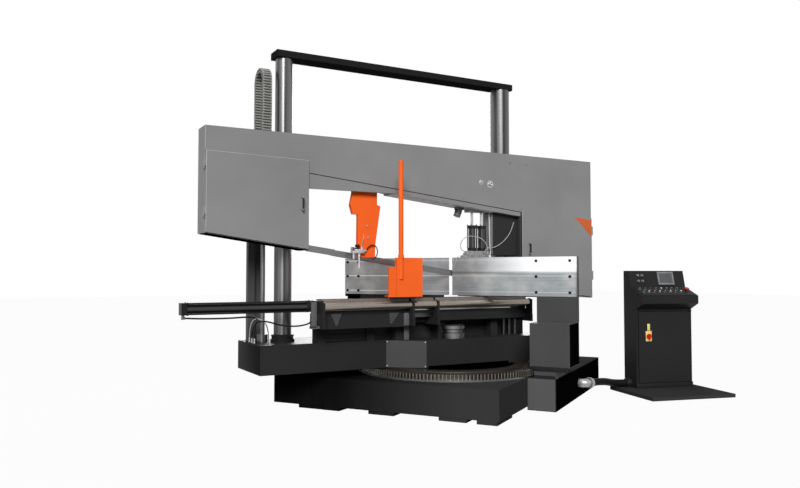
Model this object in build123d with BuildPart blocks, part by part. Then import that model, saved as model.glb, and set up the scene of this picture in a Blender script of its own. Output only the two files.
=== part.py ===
from build123d import *
import os
from math import sin, cos, tan, atan, radians, degrees, hypot, pi

os.makedirs("parts", exist_ok=True)

# Double mitre band saw, millimetres. X runs along the bow, Z is up, and the origin lies on
# the floor under the swivel axis. The fence stands at fence_angle from the bow.

# Attitude and levels
fence_angle = -55.0
foot_height = 35.0
base_top_z = 330.0
flange_thick = 16.0
ring_height = 54.0
bed_bottom_z = 410.0
bed_top_z = 700.0
column_top_z = 3620.0
fence_bottom_z = 1155.0
fence_height = 420.0

# Base
base_s0 = -1540.0
base_s1 = 960.0
base_half_t = 1195.0
base_wall = 12.0
base_plate = 20.0
anchor_offset = 840.0
anchor_hole = 28.0
pad_width = 200.0
foot_width = 280.0
foot_depth = 150.0
foot_inset = 5.0
foot_places = (-1090.0, -265.0, 495.0)

# Slewing ring and pinion
gear_module = 12.0
ring_teeth = 164
pinion_teeth = 18
ring_rim = 134.0
flange_overhang = 26.0
race_width = 150.0
race_clearance = 0.05
pinion_angle = 25.0
pinion_lift = 4.0
pinion_shaft = 60.0

# Outrigger, posts and fence
outrigger_width = 295.0
outrigger_t0 = -290.0
outrigger_t1 = 1900.0
outrigger_wall = 10.0
tray_length = 440.0
post_s0 = 985.0
post_s1 = 1397.0
post_t0 = -280.0
post_t1 = 150.0
post_bottom_z = 446.0
post_top_z = 886.0
post_wall = 12.0
fence_thick = 60.0
fence_left_s = -1370.0
fence_right_s = 1400.0
fence_gap = 36.0
fence_relief = 75.0
left_post_width = 220.0
left_post_depth = 160.0
riser_gap = 8.0
jaw_lip = 15.0
ledge_height = 30.0
ledge_inset = 3.0
ledge_shift = 20.0
bolt_head = 30.0
bolt_reach = 8.0
left_bolt_insets = (35.0, 185.0)
right_bolt_insets = (420.0, 60.0)

# Swivel frame
bed_left_x = -2240.0
bed_front_y = -90.0
bed_back_y = 630.0
bed_step_x0 = -870.0
bed_step_x1 = -537.0
bed_mid_front_y = -373.0
bed_round = 1090.0
bed_wall = 12.0
bed_plate = 20.0
ear_round = 130.0
bed_hole_inset = 60.0

# Columns and top beam
column_y = 250.0
left_column_x = -1892.0
right_column_x = 878.0
left_column_dia = 180.0
right_column_dia = 230.0
beam_height = 75.0
beam_depth = 210.0
beam_over_left = 108.0
beam_over_right = 116.0
beam_round = 12.0

# Bow
bow_left_x = -2800.0
bow_right_x = 1990.0
bow_top_z = 2785.0
bow_front_y = -130.0
bow_back_y = 120.0
bow_wall = 8.0
box_left_x = -1760.0
box_right_x = 890.0
beam_low_left_z = 2404.0
beam_low_right_z = 2121.0
lip_drop = 55.0
lip_front_y = -60.0
cant = 0.142
blade_z0 = 1405.0
box_under = 25.0
wheel_radius = 425.0
blade_thick = 2.0
blade_width = 66.0
idler_x = -2300.0
driver_x = 1430.0
axle_dia = 80.0
run_clearance = 0.05
slip_clearance = 0.3
door_thick = 19.5
door_gap = 0.5
door_lap = 40.0
hinge_out = 9.0
knuckle_dia = 16.0
hinge_pin_dia = 10.0
sleeve_width = 280.0
sleeve_depth = 270.0
sleeve_drop = 85.0

# Lift cylinders
lift_rod_dia = 50.0
lift_rod_top = 2450.0
lift_foot_dia = 110.0
lift_foot_height = 80.0
lift_barrel_dia = 80.0
lift_barrel_top = 2755.0
lift_cap = 20.0
left_lift_x = -2080.0
left_lift_y = 330.0
right_lift_x = 810.0
right_lift_y = 445.0

# Table, rollers and vise
roller_dia = 74.0
roller_y = -350.0
roller_z = 1075.0
journal_dia = 24.0
plate_thick = 24.0
plate_x = (-1704.0, -705.0, -405.0, 830.0)
roller_gap = 3.0
journal_bite = 10.8
vise_y = -220.0
vise_z = 1077.0
vise_rod_dia = 50.0
vise_barrel_dia = 90.0
vise_cap = 110.0
vise_left_x = -3030.0
rod_inset = 730.0
tie_inset = 6.0
tie_dia = 9.0
cap_thick = 50.0
guide_top_z = 1010.0
guide_height = 70.0
guide_width = 90.0
jaw_x0 = -926.0
jaw_box_x0 = -785.0
jaw_plate = 40.0
jaw_x1 = -624.0
jaw_front_y = -430.0
jaw_back_y = -165.0
jaw_bottom_z = 1148.0
jaw_top_z = 1558.0
jaw_flange = 90.0
jaw_flange_thick = 20.0
jaw_flange_drop = 95.0
bar_inset = 51.0
bar_dia = 50.0
bar_top_z = 2550.0
bar_foot_z = 1340.0
bar_collar = 5.0
bar_collar_height = 30.0
carriage_play = 6.0

# Cable chain
chain_x = -2090.0
chain_width = 90.0
chain_thick = 50.0
chain_y0 = 210.0
chain_y1 = 450.0
chain_centre_z = 3370.0
chain_low_z = 2500.0
chain_link = 55.0
chain_notch = (12.0, 10.0)

# Console
console_x = 2170.0
console_y = -675.0
console_angle = -14.0
console_width = 755.0
console_depth = 260.0
console_height = 1430.0
plate_height = 40.0
cabinet_wall = 6.0
conduit_dia = 84.0
conduit_seat_z = 160.0
conduit_entry_z = 90.0
conduit_entry_y = 150.0
conduit_heading = 8.0
gland_t = 750.0
gland_dia = 96.0

FENCE = Plane(
    origin=(0, 0, 0),
    x_dir=(cos(radians(fence_angle)), sin(radians(fence_angle)), 0),
    z_dir=(0, 0, 1),
)
CONSOLE = Plane(
    origin=(console_x, console_y, 0),
    x_dir=(cos(radians(console_angle)), sin(radians(console_angle)), 0),
    z_dir=(0, 0, 1),
)
theta = atan(cant)
run_dir = Vector(cos(theta), 0, -sin(theta))
run_up = Vector(sin(theta), 0, cos(theta))


def blade_z(x):
    return blade_z0 - cant * x


def beam_z(x):
    share = (x - box_left_x) / (box_right_x - box_left_x)
    return beam_low_left_z + share * (beam_low_right_z - beam_low_left_z)


def lip_z(x):
    return beam_z(x) - lip_drop


def wheel_centre(x):
    foot = x - wheel_radius * sin(theta)
    return Vector(x, 0, blade_z(foot) + wheel_radius * cos(theta))


def level(z):
    return Plane(origin=CONSOLE.origin + Vector(0, 0, z), x_dir=CONSOLE.x_dir, z_dir=(0, 0, 1))


def front_plane(y):
    return Plane.XZ.offset(-y)


idler = wheel_centre(idler_x)
driver = wheel_centre(driver_x)

# Welded base box, open below
base_len = base_s1 - base_s0
base_mid = (base_s0 + base_s1) / 2
base_h = base_top_z - foot_height
with BuildPart(FENCE) as base_frame:
    with Locations((base_mid, 0, foot_height + base_h / 2)):
        Box(base_len, 2 * base_half_t, base_h)
    with Locations((base_mid, 0, foot_height + (base_h - base_plate) / 2)):
        Box(base_len - 2 * base_wall, 2 * (base_half_t - base_wall), base_h - base_plate, mode=Mode.SUBTRACT)
base_frame.part.label = "base_frame"
export_step(base_frame.part, "parts/base_frame.step")

# Feet under the front and back edges, and four longer ones with anchor holes
foot_t = base_half_t - foot_inset - foot_depth / 2
anchors = (-anchor_offset, anchor_offset)
pad_t = (anchor_offset - pad_width / 2 + base_half_t) / 2
with BuildPart(FENCE) as base_feet:
    with Locations(*[(s, t, foot_height / 2) for s in foot_places for t in (-foot_t, foot_t)]):
        Box(foot_width, foot_depth, foot_height)
    with Locations(*[(s, t, foot_height / 2) for s in anchors for t in (-pad_t, pad_t)]):
        Box(pad_width, 2 * (base_half_t - pad_t), foot_height)
    with Locations(*[(s, t, 0) for s in anchors for t in anchors]):
        Cylinder(anchor_hole / 2, 4 * foot_height, mode=Mode.SUBTRACT)
base_feet.part.label = "base_feet"
export_step(base_feet.part, "parts/base_feet.step")

ring_pitch = gear_module * ring_teeth / 2
pinion_pitch = gear_module * pinion_teeth / 2
ring_bore = 2 * (ring_pitch - ring_rim)
race_bore = ring_bore - 2 * race_width
flange_diameter = 2 * (ring_pitch + gear_module + flange_overhang)

# Slewing flange bolted on the base
with BuildPart() as slew_flange:
    with BuildSketch(Plane.XY.offset(base_top_z)):
        Circle(flange_diameter / 2)
        Circle(ring_bore / 2, mode=Mode.SUBTRACT)
    extrude(amount=flange_thick)
slew_flange.part.label = "slew_flange"
export_step(slew_flange.part, "parts/slew_flange.step")


def gear_points(teeth, first):
    pitch = gear_module * teeth / 2
    step = 2 * pi / teeth
    rows = ((pitch - 1.2 * gear_module, -0.28), (pitch + 0.95 * gear_module, -0.12),
            (pitch + 0.95 * gear_module, 0.12), (pitch - 1.2 * gear_module, 0.28))
    return [
        (r * cos(radians(first) + (k + a) * step), r * sin(radians(first) + (k + a) * step))
        for k in range(teeth) for r, a in rows
    ]


ring_z = base_top_z + flange_thick
pinion_centre = Vector(
    (ring_pitch + pinion_pitch) * cos(radians(pinion_angle)),
    (ring_pitch + pinion_pitch) * sin(radians(pinion_angle)), 0)

# Toothed slewing ring
with BuildPart() as ring_gear:
    with BuildSketch(Plane.XY.offset(ring_z)):
        Polygon(*gear_points(ring_teeth, pinion_angle + 180 / ring_teeth), align=None)
        Circle(ring_bore / 2, mode=Mode.SUBTRACT)
    extrude(amount=ring_height)
ring_gear.part.label = "ring_gear"
export_step(ring_gear.part, "parts/ring_gear.step")

# Inner race, which turns inside the ring and carries the swivel frame
with BuildPart() as slew_race:
    with BuildSketch(Plane.XY.offset(ring_z)):
        Circle(ring_bore / 2 - race_clearance)
        Circle(race_bore / 2, mode=Mode.SUBTRACT)
    extrude(amount=bed_bottom_z - ring_z)
slew_race.part.label = "slew_race"
export_step(slew_race.part, "parts/slew_race.step")

# Outrigger beam beside the base, open below, with an open tray at its far end
out_mid_s = base_s1 + outrigger_width / 2
out_len = outrigger_t1 - outrigger_t0
hollow_len = out_len - tray_length - 3 * outrigger_wall
with BuildPart(FENCE) as outrigger_beam:
    with Locations((out_mid_s, (outrigger_t0 + outrigger_t1) / 2, base_top_z / 2)):
        Box(outrigger_width, out_len, base_top_z)
    with Locations((out_mid_s, outrigger_t0 + outrigger_wall + hollow_len / 2,
                    base_top_z / 2 - outrigger_wall)):
        Box(outrigger_width - 2 * outrigger_wall, hollow_len, base_top_z, mode=Mode.SUBTRACT)
    with Locations((out_mid_s, outrigger_t1 - outrigger_wall - tray_length / 2,
                    base_top_z / 2 + outrigger_wall)):
        Box(outrigger_width - 2 * outrigger_wall, tray_length, base_top_z, mode=Mode.SUBTRACT)
outrigger_beam.part.label = "outrigger_beam"
export_step(outrigger_beam.part, "parts/outrigger_beam.step")

# Right post: a riser on the outrigger and a wider box above it, open at the back
riser_s0 = flange_diameter / 2 + riser_gap
riser_s1 = base_s1 + outrigger_width
post_mid_t = (post_t0 + post_t1) / 2
post_len_t = post_t1 - post_t0
with BuildPart(FENCE) as right_post:
    with Locations(((riser_s0 + riser_s1) / 2, post_mid_t, (base_top_z + post_bottom_z) / 2)):
        Box(riser_s1 - riser_s0, post_len_t, post_bottom_z - base_top_z)
    with Locations(((post_s0 + post_s1) / 2, post_mid_t, (post_bottom_z + post_top_z) / 2)):
        Box(post_s1 - post_s0, post_len_t, post_top_z - post_bottom_z)
    with Locations(((post_s0 + post_s1) / 2, post_mid_t + post_wall, (post_bottom_z + post_top_z) / 2)):
        Box(post_s1 - post_s0 - 2 * post_wall, post_len_t, post_top_z - post_bottom_z - 2 * post_wall,
            mode=Mode.SUBTRACT)
right_post.part.label = "right_post"
export_step(right_post.part, "parts/right_post.step")

# Right bracket: a block under the jaw's outer end and a backing plate behind it
bracket_s = (post_s0 + fence_right_s) / 2
bracket_len = fence_right_s - post_s0
with BuildPart(FENCE) as right_bracket:
    with Locations((bracket_s, post_t1 / 2, (post_top_z + fence_bottom_z) / 2)):
        Box(bracket_len, post_t1, fence_bottom_z - post_top_z)
    with Locations((bracket_s, (fence_thick + post_t1) / 2, fence_bottom_z + fence_height / 2)):
        Box(bracket_len, post_t1 - fence_thick, fence_height)
    with Locations((bracket_s, post_t1, (post_top_z + fence_bottom_z) / 2)):
        Box(bracket_len - 4 * post_wall, 2 * post_t1 - 4 * post_wall,
            fence_bottom_z - post_top_z - 4 * post_wall, mode=Mode.SUBTRACT)
right_bracket.part.label = "right_bracket"
export_step(right_bracket.part, "parts/right_bracket.step")

# Left post on the base, with a ledge under the left jaw
left_mid_s = fence_left_s + left_post_width / 2
left_post_t = fence_thick + left_post_depth / 2
left_post_top = fence_bottom_z + fence_height - jaw_lip
ledge_end = -fence_gap / 2 - fence_relief - ledge_height
ledge_mid_z = fence_bottom_z - ledge_height / 2
with BuildPart(FENCE) as left_post:
    with Locations((left_mid_s, left_post_t, (base_top_z + left_post_top) / 2)):
        Box(left_post_width, left_post_depth, left_post_top - base_top_z)
    with Locations((left_mid_s, left_post_t + post_wall, (base_top_z + fence_bottom_z) / 2)):
        Box(left_post_width - 2 * post_wall, left_post_depth, fence_bottom_z - base_top_z - 4 * post_wall,
            mode=Mode.SUBTRACT)
    with Locations(((fence_left_s + ledge_end) / 2, fence_thick / 2 + ledge_inset, ledge_mid_z)):
        Box(ledge_end - fence_left_s, fence_thick - 2 * ledge_inset, ledge_height)
    with Locations((left_mid_s, fence_thick / 2 + ledge_shift, ledge_mid_z)):
        Box(left_post_width, fence_thick, ledge_height)
left_post.part.label = "left_post"
export_step(left_post.part, "parts/left_post.step")

# Fence jaws: long steel plates, bevelled behind the gap so that the blade passes at any mitre
groove = 3.0
groove_levels = [fence_bottom_z + fence_height * k / 5 for k in (1, 2, 3, 4)]
with BuildPart(FENCE) as fence_jaw_left:
    with BuildSketch(FENCE.offset(fence_bottom_z)):
        Polygon((fence_left_s, 0), (-fence_gap / 2, 0), (-fence_gap / 2 - fence_relief, fence_thick),
                (fence_left_s, fence_thick), align=None)
    extrude(amount=fence_height)
    with Locations(*[(fence_left_s / 2, 0, z) for z in groove_levels]):
        Box(-2 * fence_left_s, 2 * groove, 2 * groove, mode=Mode.SUBTRACT)
fence_jaw_left.part.label = "fence_jaw_left"
export_step(fence_jaw_left.part, "parts/fence_jaw_left.step")

with BuildPart(FENCE) as fence_jaw_right:
    with BuildSketch(FENCE.offset(fence_bottom_z)):
        Polygon((fence_gap / 2, 0), (fence_right_s, 0), (fence_right_s, fence_thick),
                (fence_gap / 2 + fence_relief, fence_thick), align=None)
    extrude(amount=fence_height)
    with Locations(*[(fence_right_s / 2, 0, z) for z in groove_levels]):
        Box(2 * fence_right_s, 2 * groove, 2 * groove, mode=Mode.SUBTRACT)
fence_jaw_right.part.label = "fence_jaw_right"
export_step(fence_jaw_right.part, "parts/fence_jaw_right.step")

# Cap screws at the outer ends of the jaws
bolt_levels = [fence_bottom_z + fence_height * k / 10 for k in (1, 5, 9)]
bolt_rows = [fence_left_s + v for v in left_bolt_insets] + [fence_right_s - v for v in right_bolt_insets]
with BuildPart(FENCE) as jaw_bolts:
    with Locations(*[(s, -bolt_reach / 2, z) for s in bolt_rows for z in bolt_levels]):
        Cylinder(bolt_head / 2, bolt_reach, rotation=(90, 0, 0))
jaw_bolts.part.label = "jaw_bolts"
export_step(jaw_bolts.part, "parts/jaw_bolts.step")

# Swivel frame: long left arm, stepped middle and a round right end with an ear for the pinion
round_front_x = (bed_round**2 - bed_mid_front_y**2) ** 0.5
round_back_x = (bed_round**2 - bed_back_y**2) ** 0.5
bed_height = bed_top_z - bed_bottom_z
with BuildPart() as swivel_frame:
    with BuildSketch(Plane.XY.offset(bed_bottom_z)) as bed_plan:
        with BuildLine():
            Polyline((round_back_x, bed_back_y), (bed_left_x, bed_back_y), (bed_left_x, bed_front_y),
                     (bed_step_x0, bed_front_y), (bed_step_x1, bed_mid_front_y),
                     (round_front_x, bed_mid_front_y))
            ThreePointArc((round_front_x, bed_mid_front_y), (bed_round, 0), (round_back_x, bed_back_y))
        make_face()
        with Locations((pinion_centre.X, pinion_centre.Y)):
            Circle(ear_round)
    extrude(amount=bed_height)
    with BuildSketch(Plane.XY.offset(bed_bottom_z + bed_wall)):
        offset(bed_plan.sketch.moved(Location((0, 0, -bed_bottom_z))), amount=-bed_wall)
    extrude(amount=bed_height - bed_wall - bed_plate, mode=Mode.SUBTRACT)
    with Locations((0, 0, bed_bottom_z)):
        Cylinder(race_bore / 2 - bed_hole_inset, 4 * bed_wall, mode=Mode.SUBTRACT)
    with Locations((pinion_centre.X, pinion_centre.Y, bed_bottom_z)):
        Cylinder(pinion_shaft / 2 + run_clearance, 8 * bed_height, mode=Mode.SUBTRACT)
swivel_frame.part.label = "swivel_frame"
export_step(swivel_frame.part, "parts/swivel_frame.step")

# Pinion in mesh with the ring, on a shaft that goes up into the gear motor
pinion_z = ring_z + pinion_lift
with BuildPart() as swivel_pinion:
    with BuildSketch(Plane(origin=(pinion_centre.X, pinion_centre.Y, pinion_z))):
        Polygon(*gear_points(pinion_teeth, pinion_angle + 180), align=None)
    extrude(amount=ring_height - pinion_lift)
    with BuildSketch(Plane(origin=(pinion_centre.X, pinion_centre.Y, pinion_z))):
        Circle(pinion_shaft / 2)
    extrude(amount=bed_top_z - pinion_z - slip_clearance)
swivel_pinion.part.label = "swivel_pinion"
export_step(swivel_pinion.part, "parts/swivel_pinion.step")

motor_flange = 25.0
motor_dia = 130.0
motor_lip = 12.0
motor_height = 330.0
with BuildPart() as swivel_motor:
    with BuildSketch(Plane(origin=(pinion_centre.X, pinion_centre.Y, bed_top_z))):
        Circle(motor_dia / 2 + motor_lip)
    extrude(amount=motor_flange)
    with BuildSketch(Plane(origin=(pinion_centre.X, pinion_centre.Y, bed_top_z + motor_flange))):
        Circle(motor_dia / 2)
    extrude(amount=motor_height)
swivel_motor.part.label = "swivel_motor"
export_step(swivel_motor.part, "parts/swivel_motor.step")

# Columns, their collars and the top beam
with BuildPart() as column_left:
    with BuildSketch(Plane(origin=(left_column_x, column_y, bed_top_z))):
        Circle(left_column_dia / 2)
    extrude(amount=column_top_z - bed_top_z)
column_left.part.label = "column_left"
export_step(column_left.part, "parts/column_left.step")

with BuildPart() as column_right:
    with BuildSketch(Plane(origin=(right_column_x, column_y, bed_top_z))):
        Circle(right_column_dia / 2)
    extrude(amount=column_top_z - bed_top_z)
column_right.part.label = "column_right"
export_step(column_right.part, "parts/column_right.step")

collar_flange = 33.0
collar_flange_height = 30.0
collar_height = 60.0
collar_wall = 22.0
with BuildPart() as column_collars:
    for cx, dia in ((left_column_x, left_column_dia), (right_column_x, right_column_dia)):
        with BuildSketch(Plane(origin=(cx, column_y, bed_top_z))):
            Circle(dia / 2 + collar_flange)
            Circle(dia / 2, mode=Mode.SUBTRACT)
        extrude(amount=collar_flange_height)
        with BuildSketch(Plane(origin=(cx, column_y, bed_top_z))):
            Circle(dia / 2 + collar_wall)
            Circle(dia / 2, mode=Mode.SUBTRACT)
        extrude(amount=collar_height)
column_collars.part.label = "column_collars"
export_step(column_collars.part, "parts/column_collars.step")

beam_x0 = left_column_x - beam_over_left
beam_x1 = right_column_x + beam_over_right
with BuildPart() as top_beam:
    with Locations(((beam_x0 + beam_x1) / 2, column_y, column_top_z + beam_height / 2)):
        Box(beam_x1 - beam_x0, beam_depth, beam_height)
    fillet(top_beam.edges().filter_by(Axis.X), radius=beam_round)
top_beam.part.label = "top_beam"
export_step(top_beam.part, "parts/top_beam.step")

# Table frame: legs and a long beam on the swivel frame, with four plates that hold the rollers
beam_y0 = -160.0
beam_y1 = -60.0
table_z0 = 880.0
table_z1 = 1000.0
plate_low_z = 860.0
plate_low_h = guide_top_z - guide_height - plate_low_z
ear_top_z = roller_z + 35.0
ear_reach = 50.0
ear_width = 90.0
leg_width, leg_depth = 90.0, 140.0
table_legs = ((-1600.0, -20.0), (-1050.0, -20.0), (-745.0, -85.0), (-250.0, -130.0), (450.0, -130.0))
apron_y, apron_thick, apron_top_z = -300.0, 10.0, 1000.0
aprons = ((plate_x[0], plate_x[1], 850.0), (plate_x[2], plate_x[3], 900.0))
with BuildPart() as table_frame:
    with Locations(((plate_x[0] + plate_x[3]) / 2, (beam_y0 + beam_y1) / 2, (table_z0 + table_z1) / 2)):
        Box(plate_x[3] - plate_x[0] + plate_thick, beam_y1 - beam_y0, table_z1 - table_z0)
    with Locations(*[(x, y, (bed_top_z + table_z0) / 2) for x, y in table_legs]):
        Box(leg_width, leg_depth, table_z0 - bed_top_z)
    for px in plate_x:
        with Locations((px, (roller_y - ear_reach + beam_y1) / 2, plate_low_z + plate_low_h / 2)):
            Box(plate_thick, beam_y1 - roller_y + ear_reach, plate_low_h)
        with Locations((px, roller_y, (plate_low_z + ear_top_z) / 2)):
            Box(plate_thick, ear_width, ear_top_z - plate_low_z)
    for a, b, low in aprons:
        with Locations(((a + b) / 2, apron_y + apron_thick / 2, (low + apron_top_z) / 2)):
            Box(b - a, apron_thick, apron_top_z - low)
    with Locations((plate_x[0], (roller_y + beam_y0) / 2, (plate_low_z + vise_z + vise_cap / 2) / 2)):
        Box(plate_thick, beam_y0 - roller_y, vise_z + vise_cap / 2 - plate_low_z)
    with Locations(*[(px, roller_y, roller_z) for px in plate_x]):
        Cylinder(journal_dia / 2 + run_clearance, 2 * plate_thick, rotation=(0, 90, 0), mode=Mode.SUBTRACT)
    with Locations((plate_x[0], vise_y, vise_z)):
        Cylinder(vise_rod_dia / 2 + run_clearance, 2 * plate_thick, rotation=(0, 90, 0), mode=Mode.SUBTRACT)
    with Locations((0, vise_y, guide_top_z - guide_height / 2)):
        Box(3 * (plate_x[3] - plate_x[0]), guide_width, guide_height, mode=Mode.SUBTRACT)
table_frame.part.label = "table_frame"
export_step(table_frame.part, "parts/table_frame.step")

# Guide rail under the moving jaw
with BuildPart() as vise_guide:
    with Locations(((plate_x[0] + plate_x[3]) / 2, vise_y, guide_top_z - guide_height / 2)):
        Box(plate_x[3] - plate_x[0] + plate_thick, guide_width, guide_height)
vise_guide.part.label = "vise_guide"
export_step(vise_guide.part, "parts/vise_guide.step")

# Support rollers between the plates
roller_half = [(b - a) / 2 - plate_thick / 2 - roller_gap for a, b in zip(plate_x, plate_x[1:])]
roller_mid = [(a + b) / 2 for a, b in zip(plate_x, plate_x[1:])]
journal_over = 2 * (roller_gap + journal_bite)
with BuildPart() as roller_left:
    with Locations((roller_mid[0], roller_y, roller_z)):
        Cylinder(roller_dia / 2, 2 * roller_half[0], rotation=(0, 90, 0))
        Cylinder(journal_dia / 2, 2 * roller_half[0] + journal_over, rotation=(0, 90, 0))
roller_left.part.label = "roller_left"
export_step(roller_left.part, "parts/roller_left.step")

with BuildPart() as roller_middle:
    with Locations((roller_mid[1], roller_y, roller_z)):
        Cylinder(roller_dia / 2, 2 * roller_half[1], rotation=(0, 90, 0))
        Cylinder(journal_dia / 2, 2 * roller_half[1] + journal_over, rotation=(0, 90, 0))
roller_middle.part.label = "roller_middle"
export_step(roller_middle.part, "parts/roller_middle.step")

with BuildPart() as roller_right:
    with Locations((roller_mid[2], roller_y, roller_z)):
        Cylinder(roller_dia / 2, 2 * roller_half[2], rotation=(0, 90, 0))
        Cylinder(journal_dia / 2, 2 * roller_half[2] + journal_over, rotation=(0, 90, 0))
roller_right.part.label = "roller_right"
export_step(roller_right.part, "parts/roller_right.step")

# Vise cylinder: barrel, square end caps with tie rods, and the rod that moves the jaw
cap_right_x = plate_x[0] - plate_thick / 2
barrel_x0 = vise_left_x + cap_thick
barrel_x1 = cap_right_x - cap_thick
with BuildPart() as vise_barrel:
    with BuildSketch(Plane(origin=(barrel_x0, vise_y, vise_z), x_dir=(0, 1, 0), z_dir=(1, 0, 0))):
        Circle(vise_barrel_dia / 2)
        Circle(vise_rod_dia / 2 + run_clearance, mode=Mode.SUBTRACT)
    extrude(amount=barrel_x1 - barrel_x0)
vise_barrel.part.label = "vise_barrel"
export_step(vise_barrel.part, "parts/vise_barrel.step")

tie_offset = vise_cap / 2 - tie_inset
with BuildPart() as vise_caps:
    with Locations((vise_left_x + cap_thick / 2, vise_y, vise_z),
                   (cap_right_x - cap_thick / 2, vise_y, vise_z)):
        Box(cap_thick, vise_cap, vise_cap)
    with Locations(*[((barrel_x0 + barrel_x1) / 2, vise_y + a, vise_z + b)
                     for a in (-tie_offset, tie_offset) for b in (-tie_offset, tie_offset)]):
        Cylinder(tie_dia / 2, barrel_x1 - barrel_x0, rotation=(0, 90, 0))
    with Locations((cap_right_x, vise_y, vise_z)):
        Cylinder(vise_rod_dia / 2 + run_clearance, 4 * cap_thick, rotation=(0, 90, 0), mode=Mode.SUBTRACT)
vise_caps.part.label = "vise_caps"
export_step(vise_caps.part, "parts/vise_caps.step")

rod_x0 = barrel_x0 + rod_inset
with BuildPart() as vise_rod:
    with Locations(((rod_x0 + jaw_x0) / 2, vise_y, vise_z)):
        Cylinder(vise_rod_dia / 2, jaw_x0 - rod_x0, rotation=(0, 90, 0))
vise_rod.part.label = "vise_rod"
export_step(vise_rod.part, "parts/vise_rod.step")

# Moving jaw: face plate and box on a carriage that slides on the guide rail, with a flange at its left
bar_at = (jaw_x0 + bar_inset, jaw_front_y + bar_dia / 10)
carriage_low = guide_top_z + slip_clearance
jaw_mid_x = (jaw_x0 + jaw_x1) / 2
jaw_mid_y = (jaw_front_y + jaw_back_y) / 2
jaw_mid_z = (jaw_bottom_z + jaw_top_z) / 2
flange_x, flange_top_z = jaw_x0 - jaw_flange, jaw_top_z - jaw_flange_drop
with BuildPart() as moving_jaw:
    with Locations((jaw_mid_x, jaw_front_y + jaw_plate / 2, jaw_mid_z)):
        Box(jaw_x1 - jaw_x0, jaw_plate, jaw_top_z - jaw_bottom_z)
    with Locations(((jaw_box_x0 + jaw_x1) / 2, jaw_mid_y, jaw_mid_z)):
        Box(jaw_x1 - jaw_box_x0, jaw_back_y - jaw_front_y, jaw_top_z - jaw_bottom_z)
    with Locations((jaw_mid_x, vise_y, (carriage_low + jaw_bottom_z) / 2)):
        Box(jaw_x1 - jaw_x0, guide_width - carriage_play, jaw_bottom_z - carriage_low)
    with Locations((jaw_mid_x, jaw_mid_y, jaw_bottom_z + jaw_plate / 4)):
        Box(jaw_x1 - jaw_x0, jaw_back_y - jaw_front_y, jaw_plate / 2)
    with BuildSketch(front_plane(jaw_front_y + jaw_flange_thick)):
        Polygon((jaw_x0, jaw_bottom_z), (jaw_x0, flange_top_z), (flange_x, flange_top_z),
                (flange_x, jaw_bottom_z), align=None)
    extrude(amount=jaw_flange_thick)
    with BuildSketch(Plane(origin=(*bar_at, bar_foot_z))):
        Circle(bar_dia / 2)
    extrude(amount=jaw_top_z, mode=Mode.SUBTRACT)
moving_jaw.part.label = "moving_jaw"
export_step(moving_jaw.part, "parts/moving_jaw.step")

# Upright bar set in a groove of the jaw, with a collar above the face plate
with BuildPart() as jaw_bar:
    with BuildSketch(Plane(origin=(*bar_at, bar_foot_z))):
        Circle(bar_dia / 2)
    extrude(amount=bar_top_z - bar_foot_z)
    with BuildSketch(Plane(origin=(*bar_at, jaw_top_z))):
        Circle(bar_dia / 2 + bar_collar)
    extrude(amount=bar_collar_height)
jaw_bar.part.label = "jaw_bar"
export_step(jaw_bar.part, "parts/jaw_bar.step")

# Chip chute under the blade: an open hopper on the swivel frame
chute_x0, chute_x1, chute_y0, chute_y1, chute_top_z = -620.0, 560.0, -55.0, 330.0, 930.0
chute_wall = 6.0
chute_at = ((chute_x0 + chute_x1) / 2, (chute_y0 + chute_y1) / 2, (bed_top_z + chute_top_z) / 2)
chute_size = (chute_x1 - chute_x0, chute_y1 - chute_y0, chute_top_z - bed_top_z)
with BuildPart() as chip_chute:
    with Locations(chute_at):
        Box(*chute_size)
    with Locations(Vector(*chute_at) + Vector(0, 0, chute_wall)):
        Box(chute_size[0] - 2 * chute_wall, chute_size[1] - 2 * chute_wall, chute_size[2], mode=Mode.SUBTRACT)
chip_chute.part.label = "chip_chute"
export_step(chip_chute.part, "parts/chip_chute.step")

# Lift rods that stand on the swivel frame, each in a foot
with BuildPart() as lift_rods:
    for lx, ly in ((left_lift_x, left_lift_y), (right_lift_x, right_lift_y)):
        with BuildSketch(Plane(origin=(lx, ly, bed_top_z))):
            Circle(lift_foot_dia / 2)
        extrude(amount=lift_foot_height)
        with BuildSketch(Plane(origin=(lx, ly, bed_top_z))):
            Circle(lift_rod_dia / 2)
        extrude(amount=lift_rod_top - bed_top_z)
lift_rods.part.label = "lift_rods"
export_step(lift_rods.part, "parts/lift_rods.step")

# Channel post that holds the fixed leg of the cable chain
channel_wall = 12.0
post_chain_top = 2850.0
post_side = 58.0
post_side_top = 2300.0
post_lip = 5.0
post_foot_thick = 14.0
post_foot_over = (70.0, 60.0)
post_foot_shift = 10.0
inner_half = chain_width / 2 + slip_clearance
channel_y0 = chain_y1 - chain_thick / 2 - post_lip
channel_y1 = chain_y1 + chain_thick / 2 + slip_clearance + channel_wall
channel_mid_y = (channel_y0 + channel_y1) / 2
channel_depth = channel_y1 - channel_y0
with BuildPart() as chain_post:
    with Locations((chain_x, channel_mid_y, (bed_top_z + post_chain_top) / 2)):
        Box(2 * (inner_half + channel_wall), channel_depth, post_chain_top - bed_top_z)
    with Locations((chain_x, channel_mid_y - channel_wall, (bed_top_z + post_chain_top) / 2)):
        Box(2 * inner_half, channel_depth, 2 * post_chain_top, mode=Mode.SUBTRACT)
    with Locations((chain_x - inner_half - channel_wall - post_side / 2, channel_mid_y,
                    (bed_top_z + post_side_top) / 2)):
        Box(post_side, channel_depth, post_side_top - bed_top_z)
    with Locations((chain_x, channel_mid_y + post_foot_shift, bed_top_z + post_foot_thick / 2)):
        Box(2 * inner_half + post_foot_over[0], channel_depth + post_foot_over[1], post_foot_thick)
chain_post.part.label = "chain_post"
export_step(chain_post.part, "parts/chain_post.step")

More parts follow.
